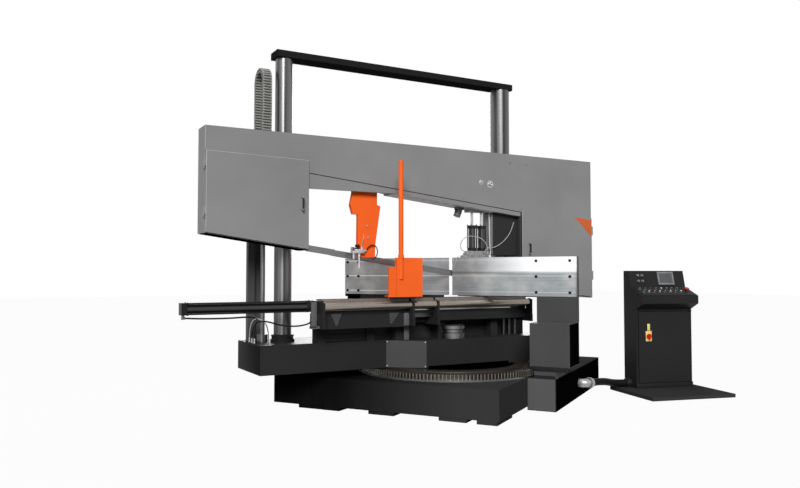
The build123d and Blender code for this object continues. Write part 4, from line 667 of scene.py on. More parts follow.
def sweep_pipe(name, points, radius, body, finish, slot):
    """A bent metal or moulded pipe along a smooth spline."""
    curve = bpy.data.curves.new(name, "CURVE")
    curve.dimensions = "3D"
    spline = curve.splines.new("NURBS")
    spline.points.add(len(points) - 1)
    for p, q in zip(spline.points, points):
        p.co = (*q, 1.0)
    spline.order_u = 3
    spline.use_endpoint_u = True
    spline.resolution_u = 8
    curve.bevel_depth = radius
    curve.bevel_resolution = 4
    curve.use_fill_caps = True
    return dress(bpy.data.objects.new(name, curve), body, finish, slot)


def run_length(obj):
    """Length of a curve's own line."""
    bare = obj.data.copy()
    bare.bevel_depth = 0.0
    line = bpy.data.objects.new("line", bare)
    points = [v.co.copy() for v in bpy.data.meshes.new_from_object(line).vertices]
    bpy.data.objects.remove(line)
    return sum((b - a).length for a, b in zip(points, points[1:]))


def add_hose(name, points, diameter, body, finish):
    """A free hose or cable from one fitting to another."""
    hose = sweep_pipe(name, points, diameter / 2, body, finish, "black_plastic")
    run_length(hose)


class SAW_OT_finishes(bpy.types.Operator):
    """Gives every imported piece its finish"""
    bl_idname = "saw.finishes"
    bl_label = "Finishes"

    def execute(self, context):
        make_paints(context.scene.saw_colours)
        make_metals(context.scene.saw_colours)
        make_plastics(context.scene.saw_sizes.link_length)
        for finish, names in NODE_FINISH.items():
            for name in names.split():
                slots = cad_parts[name].data.materials
                slots.clear()
                slots.append(FINISHES[finish])
        return {"FINISHED"}


HOSE_POINTS = ((1.4722, -0.6578, 0.16), (1.6784, -0.6288, 0.16), (1.9998, -0.478, 0.09),
               (2.1481, -0.5149, 0.09))
# Start, end, radius and sides of a gland nut's parts, along the hose from its end
NUT_PARTS = ((-0.045, -0.004, 0.056, 8), (-0.058, -0.045, 0.061, 32), (-0.004, 0.0, 0.05, 32))


class SAW_OT_conduit(bpy.types.Operator):
    """The conduit between the outrigger and the console"""
    bl_idname = "saw.conduit"
    bl_label = "Conduit"

    def execute(self, context):
        size = context.scene.saw_sizes.conduit_diameter
        hose = sweep_pipe("conduit_hose", HOSE_POINTS, size / 2, "base", "conduit_skin", "hose")
        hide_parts("conduit")
        with Piece("conduit_nuts", "base", "gland_steel", "steel") as nuts:
            for at, ahead in (HOSE_POINTS[:2], HOSE_POINTS[:1:-1]):
                out = (Vector(ahead) - Vector(at)).normalized()
                for start, end, radius, sides in NUT_PARTS:
                    nuts.rod(Vector(at) + out * start, Vector(at) + out * end, radius, sides)
        return {"FINISHED"}


# Inner wall of the right box, with the levels of the blade, the opening, the beam and the lip there
WALL = HOUSING_HIGH.x
WALL_FOOT = blade_z(WALL) - 0.02
OPENING_FOOT = WALL_FOOT + 0.02
WALL_TOP = beam_z(WALL)
WALL_LIP = WALL_TOP - LIP_DROP
SKIRT_FACE = BOW_FRONT + 0.003
BOX_LEFT, BOX_RIGHT, BOX_TOP = -2.79, -1.77, 2.778
# The line of screws that falls along the beam's top edge
SCREW_LEFT_X, SCREW_Z, SCREW_FALL = -1.5, 2.745, 0.026


class SAW_OT_bow_trim(bpy.types.Operator):
    """Bolts, screws and sheets on the bow, with painted shade, a line of painted shadow, painted light and
    painted highlights
    """
    bl_idname = "saw.bow_trim"
    bl_label = "Bow trim"

    def execute(self, context):
        head = context.scene.saw_sizes.bolt_head
        with Piece("beam_bolts", "bow", "fitting_steel", "steel") as bolts:
            for x, z, size in ((0.33, 2.433, head * 1.3), (0.455, 2.417, head * 2.0)):
                washer = 0.003
                bolts.turned(((0, 0), (size, 0), (size, washer), (0, washer)), (x, BOW_FRONT, z), FRONT)
                bolts.bolt((x, BOW_FRONT - washer, z), FRONT, size)
        with Piece("beam_screws", "bow", "bow_paint", "bow_grey") as screws:
            for x in (0.739, 0.986):
                screws.bolt((x, BOW_FRONT, SCREW_Z - (x - SCREW_LEFT_X) * SCREW_FALL), FRONT, head * 0.7)
        self.add_sheets()
        self.add_left_box()
        return {"FINISHED"}

    def add_sheets(self):
        """Sheets under the beam and inside the right box: dark sheets of painted shade in the box, a dark
        line of painted shadow between the beam and the skirt, and a pale sheet of painted light under the
        lip.
        """
        # Painted shade: dark sheets on the right box's inner wall and along its opening
        with Piece("box_inside_shade", "bow", "liner_paint", "black") as inside_shade:
            inside_shade.box((WALL - 0.003, SKIRT_FACE, WALL_FOOT),
                      (WALL, HOUSING_LOW.y + 0.012, WALL_LIP - 0.004), 0.001)
            inside_shade.box((WALL, BOW_FRONT - 0.001, OPENING_FOOT),
                      (WALL + 0.008, BOW_FRONT + 0.002, WALL_TOP), 0.0004)
        ends = [(BEAM_LEFT_X, BEAM_LEFT_Z), (WALL, WALL_TOP)]
        with Piece("beam_skirt", "bow", "bow_paint", "bow_grey") as skirt:
            lip = beam_z(LIP_LEFT_X) - LIP_DROP
            under = [(WALL, WALL_LIP), (LIP_LEFT_X, lip), (BEAM_LEFT_X, lip)]
            skirt.sheet([(x, z - 0.009) for x, z in ends] + under, SKIRT_FACE, 0.004)
        # Painted shadow: a dark line between the beam's edge and the skirt
        with Piece("skirt_shadow_line", "bow", "liner_paint", "black") as joint:
            joint.sheet(ends + [(x, z - 0.012) for x, z in reversed(ends)], SKIRT_FACE + 0.003, 0.006)
        # Painted light: a pale sheet under the lip
        with Piece("lip_underside_light", "bow", "sole_paint", "bow_grey") as sole:
            under = [(x, SKIRT_FACE + 0.004, beam_z(x) - LIP_DROP - 0.0005)
                     for x in (LIP_LEFT_X + 0.002, HOUSING_LOW.x)]
            under += [(x, HOUSING_HIGH.y - 0.004, z) for x, _, z in reversed(under)]
            sole.prism(under, (0, 0, -0.0015))
        with Piece("housing_side", "bow", "bow_paint", "bow_grey") as side:
            x, y, z = HOUSING_LOW
            top = 2.09
            side.box((x - 0.002, y + 0.005, z + 0.01), (x + 0.001, HOUSING_HIGH.y - 0.005, top), 0.0005)

    def add_left_box(self):
        """Guard of the left box, a black sheet of painted shade under it and a pale strip of painted
        highlight on its edge.
        """
        with Piece("blade_guard", "bow", "blade_steel", "steel") as guard:
            half, far, near = 0.033, BEAM_LEFT_X - 0.002, -1.44
            band = ((far, half), (near, half), (near, -half), (far, -half))
            guard.sheet([(x, blade_z(x) + z) for x, z in band], -0.046, 0.004)
        # Painted shade: a black sheet under the left box
        with Piece("box_underside_shade", "bow", "deep_black", "black") as sole:
            high, low = 0.025, 0.028
            band = ((BOX_LEFT, high), (BOX_RIGHT, high), (BOX_RIGHT, low), (BOX_LEFT, low))
            sole.sheet([(x, blade_z(x) - drop) for x, drop in band], BOW_FRONT + 0.002, 0.245)
        # Painted highlight: a pale strip along the left box's edge
        with Piece("bow_edge_highlight", "bow", "edge_paint", "bow_grey") as edge:
            edge.box((BOX_LEFT - 0.01, BOW_FRONT - 0.0015, LEFT_DOOR_HIGH.z + 0.004),
                     (BOX_LEFT - 0.0045, BOW_FRONT + 0.001, BOX_TOP), 0.0005)


CORNER_LEFT, CORNER_RIGHT = 1.707, 1.974
CORNER_TOP, CORNER_FALL, CORNER_DEPTH = 2.084, 0.028, 0.2


class SAW_OT_doors(bpy.types.Operator):
    """The painted corner, a dark strip of painted shade, pale and bright strips of painted highlight on the
    edges, and grips on the bow's doors
    """
    bl_idname = "saw.doors"
    bl_label = "Door trim"

    def execute(self, context):
        with Piece("corner_panel", "door_right", "corner_paint", "orange") as corner:
            low_top = CORNER_TOP - CORNER_FALL
            foot = low_top - CORNER_DEPTH
            outline = ((CORNER_LEFT, CORNER_TOP), (CORNER_RIGHT, low_top), (CORNER_RIGHT, foot))
            corner.sheet(outline, DOOR_FRONT, -0.002)
        # Painted shade: a dark strip on the box's inner side by the right door
        with Piece("door_side_shade", "door_right", "liner_paint", "black") as strip:
            strip.box((WALL + 0.0065, DOOR_FRONT + 0.001, OPENING_FOOT),
                      (WALL + 0.009, BOW_FRONT - 0.0012, WALL_TOP), 0.0004)
        # Painted highlight: a bright steel strip along the right door's edge
        with Piece("door_edge_highlight", "door_right", "fitting_steel", "steel") as strip:
            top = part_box("right_door")[1].z - 0.01
            strip.box((WALL + 0.008, DOOR_FRONT - 0.001, OPENING_FOOT),
                      (WALL + 0.014, DOOR_FRONT + 0.002, top), 0.001)
        # Painted highlight: pale strips along the left door's left and top edges
        with Piece("left_door_edge_highlights", "door_left", "edge_paint", "bow_grey") as edges:
            right, _, top = LEFT_DOOR_HIGH
            foot, fall, wide = 1.79, 0.024, 0.004
            edges.box((BOX_LEFT - 0.002, DOOR_FRONT - 0.0015, foot),
                      (BOX_LEFT + 0.0035, DOOR_FRONT + 0.001, top), 0.0005)
            seam = ((BOX_LEFT, top), (right, top - fall), (right, top - fall - wide), (BOX_LEFT, top - wide))
            edges.sheet(seam, DOOR_FRONT - 0.001, 0.002)
        grip = ((0.007, -0.052), (0.0085, -0.05), (0.0085, 0.05), (0.007, 0.052))
        for side, x, z in (("left", -1.843, 2.085), ("right", 0.993, 1.69)):
            with Piece(side + "_grip", "door_" + side, "black_plastic", "black_plastic") as handle:
                handle.turned(grip, (x, GRIP_LINE, z), UP, 16)
        return {"FINISHED"}


class SAW_OT_work_lamp(bpy.types.Operator):
    """Rim, fins and glass of the work lamp"""
    bl_idname = "saw.work_lamp"
    bl_label = "Work lamp"

    def execute(self, context):
        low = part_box("work_lamp")[0]
        tilt, radius = radians(22.0), 0.038
        axis = Vector((-sin(tilt), 0, -cos(tilt)))
        end = Vector((low.x + radius * cos(tilt), 0, low.z + radius * sin(tilt)))
        inner, outer = radius - 0.002, radius + 0.003
        with Piece("lamp_rim", "bow", "black_plastic", "black_plastic") as rim:
            lip = ((radius - 0.008, -0.004), (outer, -0.004), (outer, 0.0), (radius - 0.006, 0.0))
            rim.turned(lip, end, axis, 32)
            fin = ((inner, -0.002), (outer, -0.002), (outer, 0.002), (inner, 0.002))
            for step in range(4):
                rim.turned(fin, end - axis * (0.03 + 0.013 * step), axis, 32)
        with Piece("lamp_glass", "bow", "screen_glass", "black_plastic") as glass:
            edge = radius - 0.007
            glass.turned(((0, 0.001), (0.018, 0.001), (edge, 0.0005), (edge, -0.003)), end, axis, 32)
        return {"FINISHED"}


NOZZLE_TOP = 1.585
ARM_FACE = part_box("guide_arm_left")[0].y
ARM_LINE = ARM_FACE - 0.022
ARM_HOSE = ((-1.1, ARM_LINE, 1.64), (-1.06, ARM_LINE, 1.70), (-0.975, ARM_LINE, 1.69),
            (-0.96, ARM_LINE, 1.58), (-1.01, ARM_FACE + 0.002, 1.545))
ARM_CABLE = ((-1.15, ARM_LINE, 1.676), (-1.15, ARM_LINE, 1.73), (-1.118, ARM_FACE - 0.01, 1.77),
             (-1.118, ARM_FACE + 0.001, 1.81))


class SAW_OT_guide_left(bpy.types.Operator):
    """Coolant valve, hoses and bolts on the sliding guide arm"""
    bl_idname = "saw.guide_left"
    bl_label = "Sliding guide fittings"

    def execute(self, context):
        with Piece("arm_bolts", "guide", "fitting_steel", "steel") as bolts:
            for x, z in ((-1.08, 1.896), (-1.074, 1.775)):
                bolts.bolt((x, ARM_FACE, z), FRONT, context.scene.saw_sizes.bolt_head)
        feed_x, jet_x, cable_x = -1.181, -1.243, ARM_CABLE[0][0]
        with Piece("coolant_valve", "guide", "fitting_steel", "steel") as valve:
            valve.box((-1.225, ARM_FACE - 0.045, 1.605), (-1.125, ARM_FACE, 1.65), 0.005)
            valve.box((-1.262, ARM_FACE - 0.038, 1.598), (-1.222, ARM_FACE - 0.006, 1.634), 0.004)
            for x, low, high, radius in ((jet_x, 1.575, 1.6, 0.012), (feed_x, 1.572, 1.606, 0.014),
                                         (cable_x, 1.648, ARM_CABLE[0][2], 0.012)):
                valve.rod((x, ARM_LINE, low), (x, ARM_LINE, high), radius, 6)
            valve.rod((-1.128, ARM_LINE, 1.628), ARM_HOSE[0], 0.011, 6)
        with Piece("valve_knob", "guide", "black_plastic", "black_plastic") as knob:
            grip = ((0, 0.05), (0.02, 0.048), (0.026, 0.04), (0.026, 0.022), (0.01, 0.016), (0.008, 0.0))
            knob.turned(grip, (-1.2, ARM_LINE, 1.65), UP)
        with Piece("coolant_nozzles", "guide", "white_pipe", "pale_paint") as nozzles:
            for x, low, radius in ((feed_x, 1.451, 0.008), (jet_x, 1.548, 0.009)):
                bore, reach = radius * 0.6, low - NOZZLE_TOP
                tube = ((radius, 0.0), (radius, reach), (bore, reach), (bore, -0.005))
                nozzles.turned(tube, (x, ARM_LINE, NOZZLE_TOP), UP)
        add_hose("arm_hose", ARM_HOSE, 0.011, "guide", "hose_rubber")
        add_hose("arm_cable", ARM_CABLE, 0.006, "guide", "pale_cable")
        return {"FINISHED"}


GUIDE_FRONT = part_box("guide_arm_right")[0].y
RAM_XS, RAM_TIE = (0.2905, 0.4205), 0.036
GUIDE_HOSE = ((0.457, -0.067, 1.63), (0.452, -0.09, 1.71), (0.37, -0.07, 1.81), (0.21, -0.03, 1.83),
              (0.12, -0.012, 1.75), (0.135, -0.01, 1.655), (0.188, -0.01, 1.645))
SENSOR_CABLE = ((0.511, -0.03, 2.125), (0.512, -0.03, 1.95), (0.52, -0.03, 1.72), (0.53, -0.03, 1.62),
                (0.512, -0.03, 1.58))
MOTOR_CABLE = ((0.841, -0.062, 1.998), (0.80, -0.075, 1.9), (0.70, -0.08, 1.78), (0.55, -0.08, 1.69),
               (0.43, -0.09, 1.70), (0.415, -0.067, 1.64))
# Along the fence, across it and up from its top
COOLANT_PIPE = ((0.09, 0.02, 0.006), (0.075, -0.006, 0.008), (0.07, -0.008, -0.04), (0.045, -0.008, -0.12),
                (0.022, -0.008, -0.15))


class SAW_OT_guide_right(bpy.types.Operator):
    """Ram caps, steps and hoses of the fixed guide"""
    bl_idname = "saw.guide_right"
    bl_label = "Fixed guide fittings"

    def execute(self, context):
        head = context.scene.saw_sizes.bolt_head
        cap_top = 1.69
        with Piece("ram_caps", "bow", "black_plastic", "black") as caps:
            for x in RAM_XS:
                for low, high in ((1.912, RAM_TOP + 0.002), (RAM_FOOT - 0.001, cap_top)):
                    caps.rod((x, 0, low), (x, 0, high), 0.055, 8)
                for tie_x in (x - RAM_TIE, x + RAM_TIE):
                    for y in (-RAM_TIE, RAM_TIE):
                        caps.rod((tie_x, y, cap_top), (tie_x, y, RAM_TOP + 0.014), 0.006, 8)
        with Piece("guide_steps", "bow", "guide_steel", "cast") as steps:
            steps.box((0.155, -0.04, 1.49), (0.22, 0.04, 1.605), 0.004)
            steps.box((0.19, -0.042, 1.6), (0.23, 0.042, 1.632), 0.004)
            for x, z in ((0.26, 1.6), (0.36, 1.6), (0.46, 1.6), (0.26, 1.5), (0.46, 1.5)):
                steps.bolt((x, GUIDE_FRONT, z), FRONT, head)
            steps.bolt((0.187, -0.04, 1.56), FRONT, head)
        with Piece("guide_nipples", "bow", "fitting_steel", "steel") as nipples:
            reach = 0.022
            for at, out in ((GUIDE_HOSE[0], FRONT), (MOTOR_CABLE[-1], FRONT), (SENSOR_CABLE[-1], RIGHT)):
                nipples.rod(Vector(at) - out * reach, at, 0.012, 6)
        with Piece("hose_elbow", "bow", "fitting_steel", "steel") as elbow:
            elbow.box((0.2, -0.026, 1.63), (0.234, 0.006, 1.656), 0.003)
            elbow.rod((0.202, -0.01, 1.643), (0.186, -0.01, 1.646), 0.009, 6)
        add_hose("guide_hose", GUIDE_HOSE, 0.009, "bow", "pale_cable")
        pipe = [fence_point(s, t, JAW_TOP + z) for s, t, z in COOLANT_PIPE]
        sweep_pipe("coolant_pipe", pipe, 0.0045, "base", "pale_cable", "pale_paint")
        add_hose("sensor_cable", SENSOR_CABLE, 0.012, "bow", "white_pipe")
        add_hose("motor_cable", MOTOR_CABLE, 0.009, "bow", "pale_cable")
        return {"FINISHED"}


TIE_REACH = 0.049
STICK_X, STICK_YS, STICK_HIGH = -2.205, (0.2, 0.28, 0.36), 0.05


class SAW_OT_vise(bpy.types.Operator):
    """Tie rod nuts, ports and hoses of the vise ram"""
    bl_idname = "saw.vise"
    bl_label = "Vise ram fittings"

    def execute(self, context):
        low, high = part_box("vise_barrel")
        mid = (low + high) / 2
        port_z, hose_z = mid.z - 0.078, mid.z - 0.082
        with Piece("tie_nuts", "swivel", "black_paint", "black") as nuts:
            for y in (mid.y - TIE_REACH, mid.y + TIE_REACH):
                for z in (mid.z - TIE_REACH, mid.z + TIE_REACH):
                    for x, out in ((low.x, RIGHT), (high.x, -RIGHT)):
                        at = Vector((x, y, z))
                        nuts.rod(at, at + out * 0.012, 0.0105, 6)
                        nuts.rod(at + out * 0.012, at + out * 0.014, 0.0085, 16)
        with Piece("ram_ports", "swivel", "hub_steel", "steel") as ports:
            for x in (low.x - 0.025, high.x + 0.025):
                ports.rod((x, mid.y, mid.z - 0.055), (x, mid.y, port_z), 0.014, 6)
            ports.box((low.x - 0.039, mid.y - 0.014, hose_z - 0.013),
                      (low.x - 0.006, mid.y + 0.014, hose_z + 0.013), 0.003)
        with Piece("bed_ports", "swivel", "white_pipe", "pale_paint") as sticks:
            stick = ((0.010, 0.0), (0.010, 0.012), (0.0075, 0.014), (0.0075, STICK_HIGH), (0, STICK_HIGH))
            for y in STICK_YS:
                sticks.turned(stick, (STICK_X, y, BED_TOP), UP, 12)
        with Piece("barrel_ring", "swivel", "black_paint", "black") as ring:
            band = ((0.046, -0.015), (0.058, -0.015), (0.058, 0.015), (0.046, 0.015))
            ring.turned(band, (-1.815, mid.y, mid.z), RIGHT, 40)
        with Piece("jaw_seam", "vise", "seam_paint", "orange") as seam:
            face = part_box("moving_jaw")[0].y
            seam.box((-0.934, face - 0.0006, 1.162), (-0.931, face + 0.001, 1.455), 0.0004)
        self.add_hoses(low.x, high.x, mid.y, port_z, hose_z)
        return {"FINISHED"}

    def add_hoses(self, far, near, y, z, hose_z):
        """The ram's two hoses and the lift's line, each from its port on the bed or to it."""
        far_y, near_y, lift_y = STICK_YS
        top = BED_TOP + STICK_HIGH
        far_run = ((far - 0.006, y, hose_z), (far + 0.08, y, hose_z - 0.008), (-2.6, y + 0.01, z - 0.018),
                   (-2.38, y + 0.04, z - 0.01), (-2.24, y + 0.2, z - 0.03), (STICK_X, far_y - 0.01, 0.89),
                   (STICK_X, far_y, top))
        near_run = ((near + 0.025, y, z), (near + 0.02, y, z - 0.08), (near - 0.1, y + 0.06, z - 0.12),
                    (-2.0, -0.03, 0.88), (-2.13, 0.1, 0.93), (STICK_X, near_y - 0.02, 0.9),
                    (STICK_X, near_y, top))
        lift_run = ((STICK_X, lift_y, top), (STICK_X, lift_y - 0.01, 0.87), (-2.18, 0.26, 0.95),
                    (-2.1, 0.2, 0.92), (-2.06, 0.19, 0.82), (-2.06, 0.19, BED_TOP))
        add_hose("ram_hose_far", far_run, 0.016, "swivel", "hose_rubber")
        add_hose("ram_hose_near", near_run, 0.016, "swivel", "hose_rubber")
        add_hose("lift_line", lift_run, 0.012, "swivel", "pale_cable")


BRACKET_TRAVEL, BRACKET_ROOM = 0.26, 0.006


class SAW_OT_chain(bpy.types.Operator):
    """Side plates and cross bars of the cable chain"""
    bl_idname = "saw.chain"
    bl_label = "Cable chain links"

    def execute(self, context):
        pitch = context.scene.saw_sizes.link_length
        low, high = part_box("cable_chain")
        radius = (high.y - low.y) / 2
        bend = Vector((0, (low.y + high.y) / 2, high.z - radius))
        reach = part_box("chain_bracket")[1].z + BRACKET_TRAVEL
        places = []
        for k in range(int((bend.z - low.z) // pitch)):
            z = bend.z - pitch * k
            places.append((Vector((0, low.y + (BRACKET_ROOM if z < reach else 0.0), z)), pi))
            places.append((Vector((0, high.y, z)), 0.0))
        arc = int(pi * radius // pitch)
        for k in range(1, arc):
            angle = pi * k / arc
            places.append((bend + Vector((0, cos(angle), sin(angle))) * radius, angle))
        side, bar = pitch * 0.36, pitch * 0.16
        with Piece("chain_links", "chain", "chain_plastic", "black_plastic") as links:
            for at, angle in places:
                turn = Matrix.Translation(at) @ Matrix.Rotation(angle, 4, "X")
                for x in (low.x - 0.003, high.x - 0.012):
                    links.box((x, -0.012, -side), (x + 0.015, 0.004, side), 0.002, turn)
                links.box((low.x + 0.01, -0.004, -bar), (high.x - 0.01, 0.005, bar), 0.002, turn)
        return {"FINISHED"}


ROLLERS = [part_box(name) for name in ("roller_left", "roller_middle", "roller_right")]
ROLLER_PLAY, PLATE_HALF = 0.0012, 0.012
PLATE_XS = [low.x - ROLLER_PLAY for low, high in ROLLERS] + [ROLLERS[-1][1].x + ROLLER_PLAY]
ROLLER_SPANS = [(a + PLATE_HALF, b - PLATE_HALF) for a, b in zip(PLATE_XS, PLATE_XS[1:])]
SILL_FRONT, SHEET_TOP = -0.302, 1.143


class SAW_OT_table(bpy.types.Operator):
    """Bearing rings, sills and strips of the roller table, with bright strips on the sills' front edges that
    stand in for their glint as painted highlight
    """
    bl_idname = "saw.table"
    bl_label = "Roller table fittings"

    def execute(self, context):
        axle = middle_of("roller_left")
        with Piece("bearing_rings", "swivel", "black_plastic", "black") as rings:
            ring = ((0.03, -0.007), (0.043, -0.007), (0.043, 0.007), (0.03, 0.007))
            for x in PLATE_XS:
                rings.turned(ring, (x, axle.y, axle.z), RIGHT, 32)
        with Piece("apron_gussets", "swivel", "post_paint", "frame_grey") as gussets:
            face, tip_half = -0.3, 0.008
            for left, right, tip, top, foot in ((-1.595, -1.482, -1.536, 1.0, 0.883),
                                                (-0.949, -0.832, -0.926, 0.995, 0.881)):
                outline = ((left, top), (right, top), (tip + tip_half, foot), (tip - tip_half, foot))
                gussets.sheet(outline, face, -0.01)
        with Piece("roller_sills", "swivel", "black_paint", "black") as sills:
            for left, right in ROLLER_SPANS:
                sills.box((left, SILL_FRONT, 0.985), (right, SILL_FRONT + 0.01, 1.034), 0.002)
        with Piece("roller_strips", "swivel", "strip_steel", "steel") as strips:
            for left, right in ROLLER_SPANS:
                strips.box((left, SILL_FRONT - 0.006, 1.03), (right, SILL_FRONT, SHEET_TOP), 0.001)
        # Partly painted highlight: bright strips on the sills' front edges, standing in for their glint
        with Piece("sill_edge_glints", "swivel", "flange_steel", "steel") as edges:
            inset, last = 0.003, 0.6
            for left, right in ROLLER_SPANS[1:]:
                right = min(right - inset, last)
                edges.box((left + inset, SILL_FRONT - 0.002, 1.014),
                          (right, SILL_FRONT + 0.0005, 1.027), 0.001)
        return {"FINISHED"}


class SAW_OT_under_table(bpy.types.Operator):
    """Rail, hub, sheets, brackets and rods between the table and the bed"""
    bl_idname = "saw.under_table"
    bl_label = "Fittings under the table"

    def execute(self, context):
        with Piece("low_rail", "swivel", "black_paint", "black") as rail:
            front, back = -0.06, -0.035
            rail.box((-1.66, -0.07, BED_TOP), (-0.95, -0.02, BED_TOP + 0.035), 0.004)
            rail.box((-1.63, front, BED_TOP + 0.03), (-1.45, back, BED_TOP + 0.075), 0.004)
            rail.box((-1.22, front, BED_TOP + 0.03), (-1.02, back, BED_TOP + 0.09), 0.004)
            rail.box((-1.52, front - 0.006, BED_TOP + 0.072), (-1.1, back + 0.005, BED_TOP + 0.086), 0.004)
            for x in (-1.6, -1.3, -1.0):
                rail.bolt((x, -0.07, BED_TOP + 0.017), FRONT, context.scene.saw_sizes.bolt_head)
        with Piece("pivot_hub", "swivel", "hub_steel", "steel") as hub:
            wide, waist, top = 0.13, 0.112, 0.145
            profile = ((wide, 0.0), (wide, 0.057), (waist, 0.065), (waist, 0.093), (wide, 0.101),
                       (wide, 0.135), (0.118, top), (0, top))
            hub.turned(profile, (-0.118, -0.22, BED_TOP), UP, 48)
        chute_low, chute_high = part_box("chip_chute")
        with Piece("table_sheets", "swivel", "black_paint", "black") as sheets:
            sheets.box((-1.69, -0.166, 0.95), (0.82, -0.158, SHEET_TOP), 0.001)
            for left, right in ((-1.69, chute_low.x), (chute_high.x, 0.966)):
                sheets.box((left, -0.062, BED_TOP), (right, -0.056, BED_TOP + 0.2), 0.001)
        with Piece("table_brackets", "swivel", "bracket_paint", "frame_grey") as brackets:
            brackets.box((-1.80, -0.31, 0.87), (-1.745, -0.285, 1.12), 0.003)
            brackets.box((-1.80, -0.31, 0.86), (-1.70, -0.25, 0.885), 0.003)
            brackets.box((-0.71, -0.2, BED_TOP), (-0.65, -0.18, BED_TOP + 0.19), 0.003)
            brackets.box((-0.775, -0.312, 0.86), (-0.715, -0.298, 0.99), 0.003)
        with Piece("table_rods", "swivel", "rail_steel", "steel") as rods:
            foot, shank, top = 0.02, 0.016, 0.29
            profile = ((foot, 0), (foot, 0.012), (shank, 0.014), (shank, top), (0, top))
            for x in (0.632, 0.71, 0.79):
                rods.turned(profile, (x, -0.13, BED_TOP), UP, 20)
        return {"FINISHED"}


def panel_matrix(low, high):
    """Console panel: x along it, y up the slope and z out of it."""
    up = (high - low).normalized()
    turn = Matrix((RIGHT, up, RIGHT.cross(up))).transposed().to_4x4()
    return CONSOLE @ Matrix.Translation(low) @ turn


BUTTON_X, BUTTON_PITCH = 0.070, 0.072
LOWER_ROW = ("button_grey", "white_pipe") * 4
UPPER_ROW = ("button_grey", "green_plastic", "lens_red", "button_grey", "white_pipe") + ("button_grey",) * 3
SCREEN_LOW, SCREEN_HIGH, SCREEN_RIM = Vector((0.3795, 0.0245)), Vector((0.6005, 0.1855)), 0.022


class SAW_OT_console(bpy.types.Operator):
    """Screen frame, buttons, lamps and switch plate of the console"""
    bl_idname = "saw.console"
    bl_label = "Console fittings"

    def execute(self, context):
        self.add_screen_frame(panel_matrix(HEAD_LOW, HEAD_HIGH))
        self.add_buttons(panel_matrix(HEAD_LOW, HEAD_HIGH), panel_matrix(DESK_LOW, DESK_HIGH))
        door_face = -0.0165
        with Piece("switch_plate", "cabinet_door", "pale_plate", "pale_paint") as plate:
            plate.box((0.115, door_face - 0.005, 0.595), (0.195, door_face, 0.715), 0.003, CONSOLE)
            plate.box((0.137, door_face - 0.004, 0.72), (0.173, door_face, 0.80), 0.003, CONSOLE)
        with Piece("console_plinth", "base", "black_paint", "console_dark") as plinth:
            plinth.box((-0.004, -0.006, 0.04), (0.764, 0.02, 0.098), 0.003, CONSOLE)
            plinth.box((0.02, -0.012, 0.95), (0.744, 0.01, 0.962), 0.003, CONSOLE)
        with Piece("door_locks", "cabinet_door", "black_plastic", "black_plastic") as locks:
            lock = ((0.013, 0), (0.013, 0.005), (0.009, 0.007), (0, 0.007))
            for z in (0.28, 0.82):
                locks.turned(lock, CONSOLE @ Vector((0.05, door_face, z)), CONSOLE.to_3x3() @ FRONT, 20)
        return {"FINISHED"}

    def add_screen_frame(self, panel):
        """The four bars round the screen."""
        left, foot = SCREEN_LOW
        right, top = SCREEN_HIGH
        rim = SCREEN_RIM
        bars = (((left, foot), (right, foot + rim)), ((left, top - rim), (right, top)),
                ((left, foot + rim), (left + rim, top - rim)),
                ((right - rim, foot + rim), (right, top - rim)))
        with Piece("screen_frame", "base", "frame_silver", "black_plastic") as bezel:
            for low, high in bars:
                bezel.box((*low, 0.012), (*high, 0.018), 0.002, panel)

    def add_buttons(self, head, desk):
        """Two rows on the desk and four buttons beside the screen, each in its ring."""
        slope = (DESK_HIGH - DESK_LOW).length
        caps = {"button_grey": [], "white_pipe": [], "green_plastic": [], "lens_red": []}
        for row, rise in ((LOWER_ROW, slope * 0.35), (UPPER_ROW, slope * 0.68)):
            for k, finish in enumerate(row):
                caps[finish].append((desk, BUTTON_X + BUTTON_PITCH * k, rise))
        for x in (0.110, 0.165):
            for y in (0.140, 0.070):
                caps["button_grey"].append((head, x, y))
        cap = ((0.010, -0.001), (0.010, 0.003), (0.008, 0.005), (0, 0.0055))
        ring = ((0.012, 0.0), (0.018, 0.0), (0.018, 0.003), (0.012, 0.006), (0.012, 0.0))
        with Piece("button_rings", "base", "frame_silver", "black_plastic") as rings:
            for finish, places in caps.items():
                with Piece("buttons_" + finish, "base", finish, "black_plastic") as buttons:
                    for panel, x, y in places:
                        out = panel.to_3x3() @ UP
                        buttons.turned(cap, panel @ Vector((x, y, 0.022)), out, 20)
                        rings.turned(ring, panel @ Vector((x, y, 0.008)), out, 20)


FENCE = Matrix.Rotation(FENCE_TURN, 4, "Z")
COVER_START, COVER_END = Vector((-0.870, -0.09, 0)), Vector((-0.537, -0.373, 0))
COVER_LOW, COVER_HIGH, COVER_THICK = 0.415, 0.694, 0.004


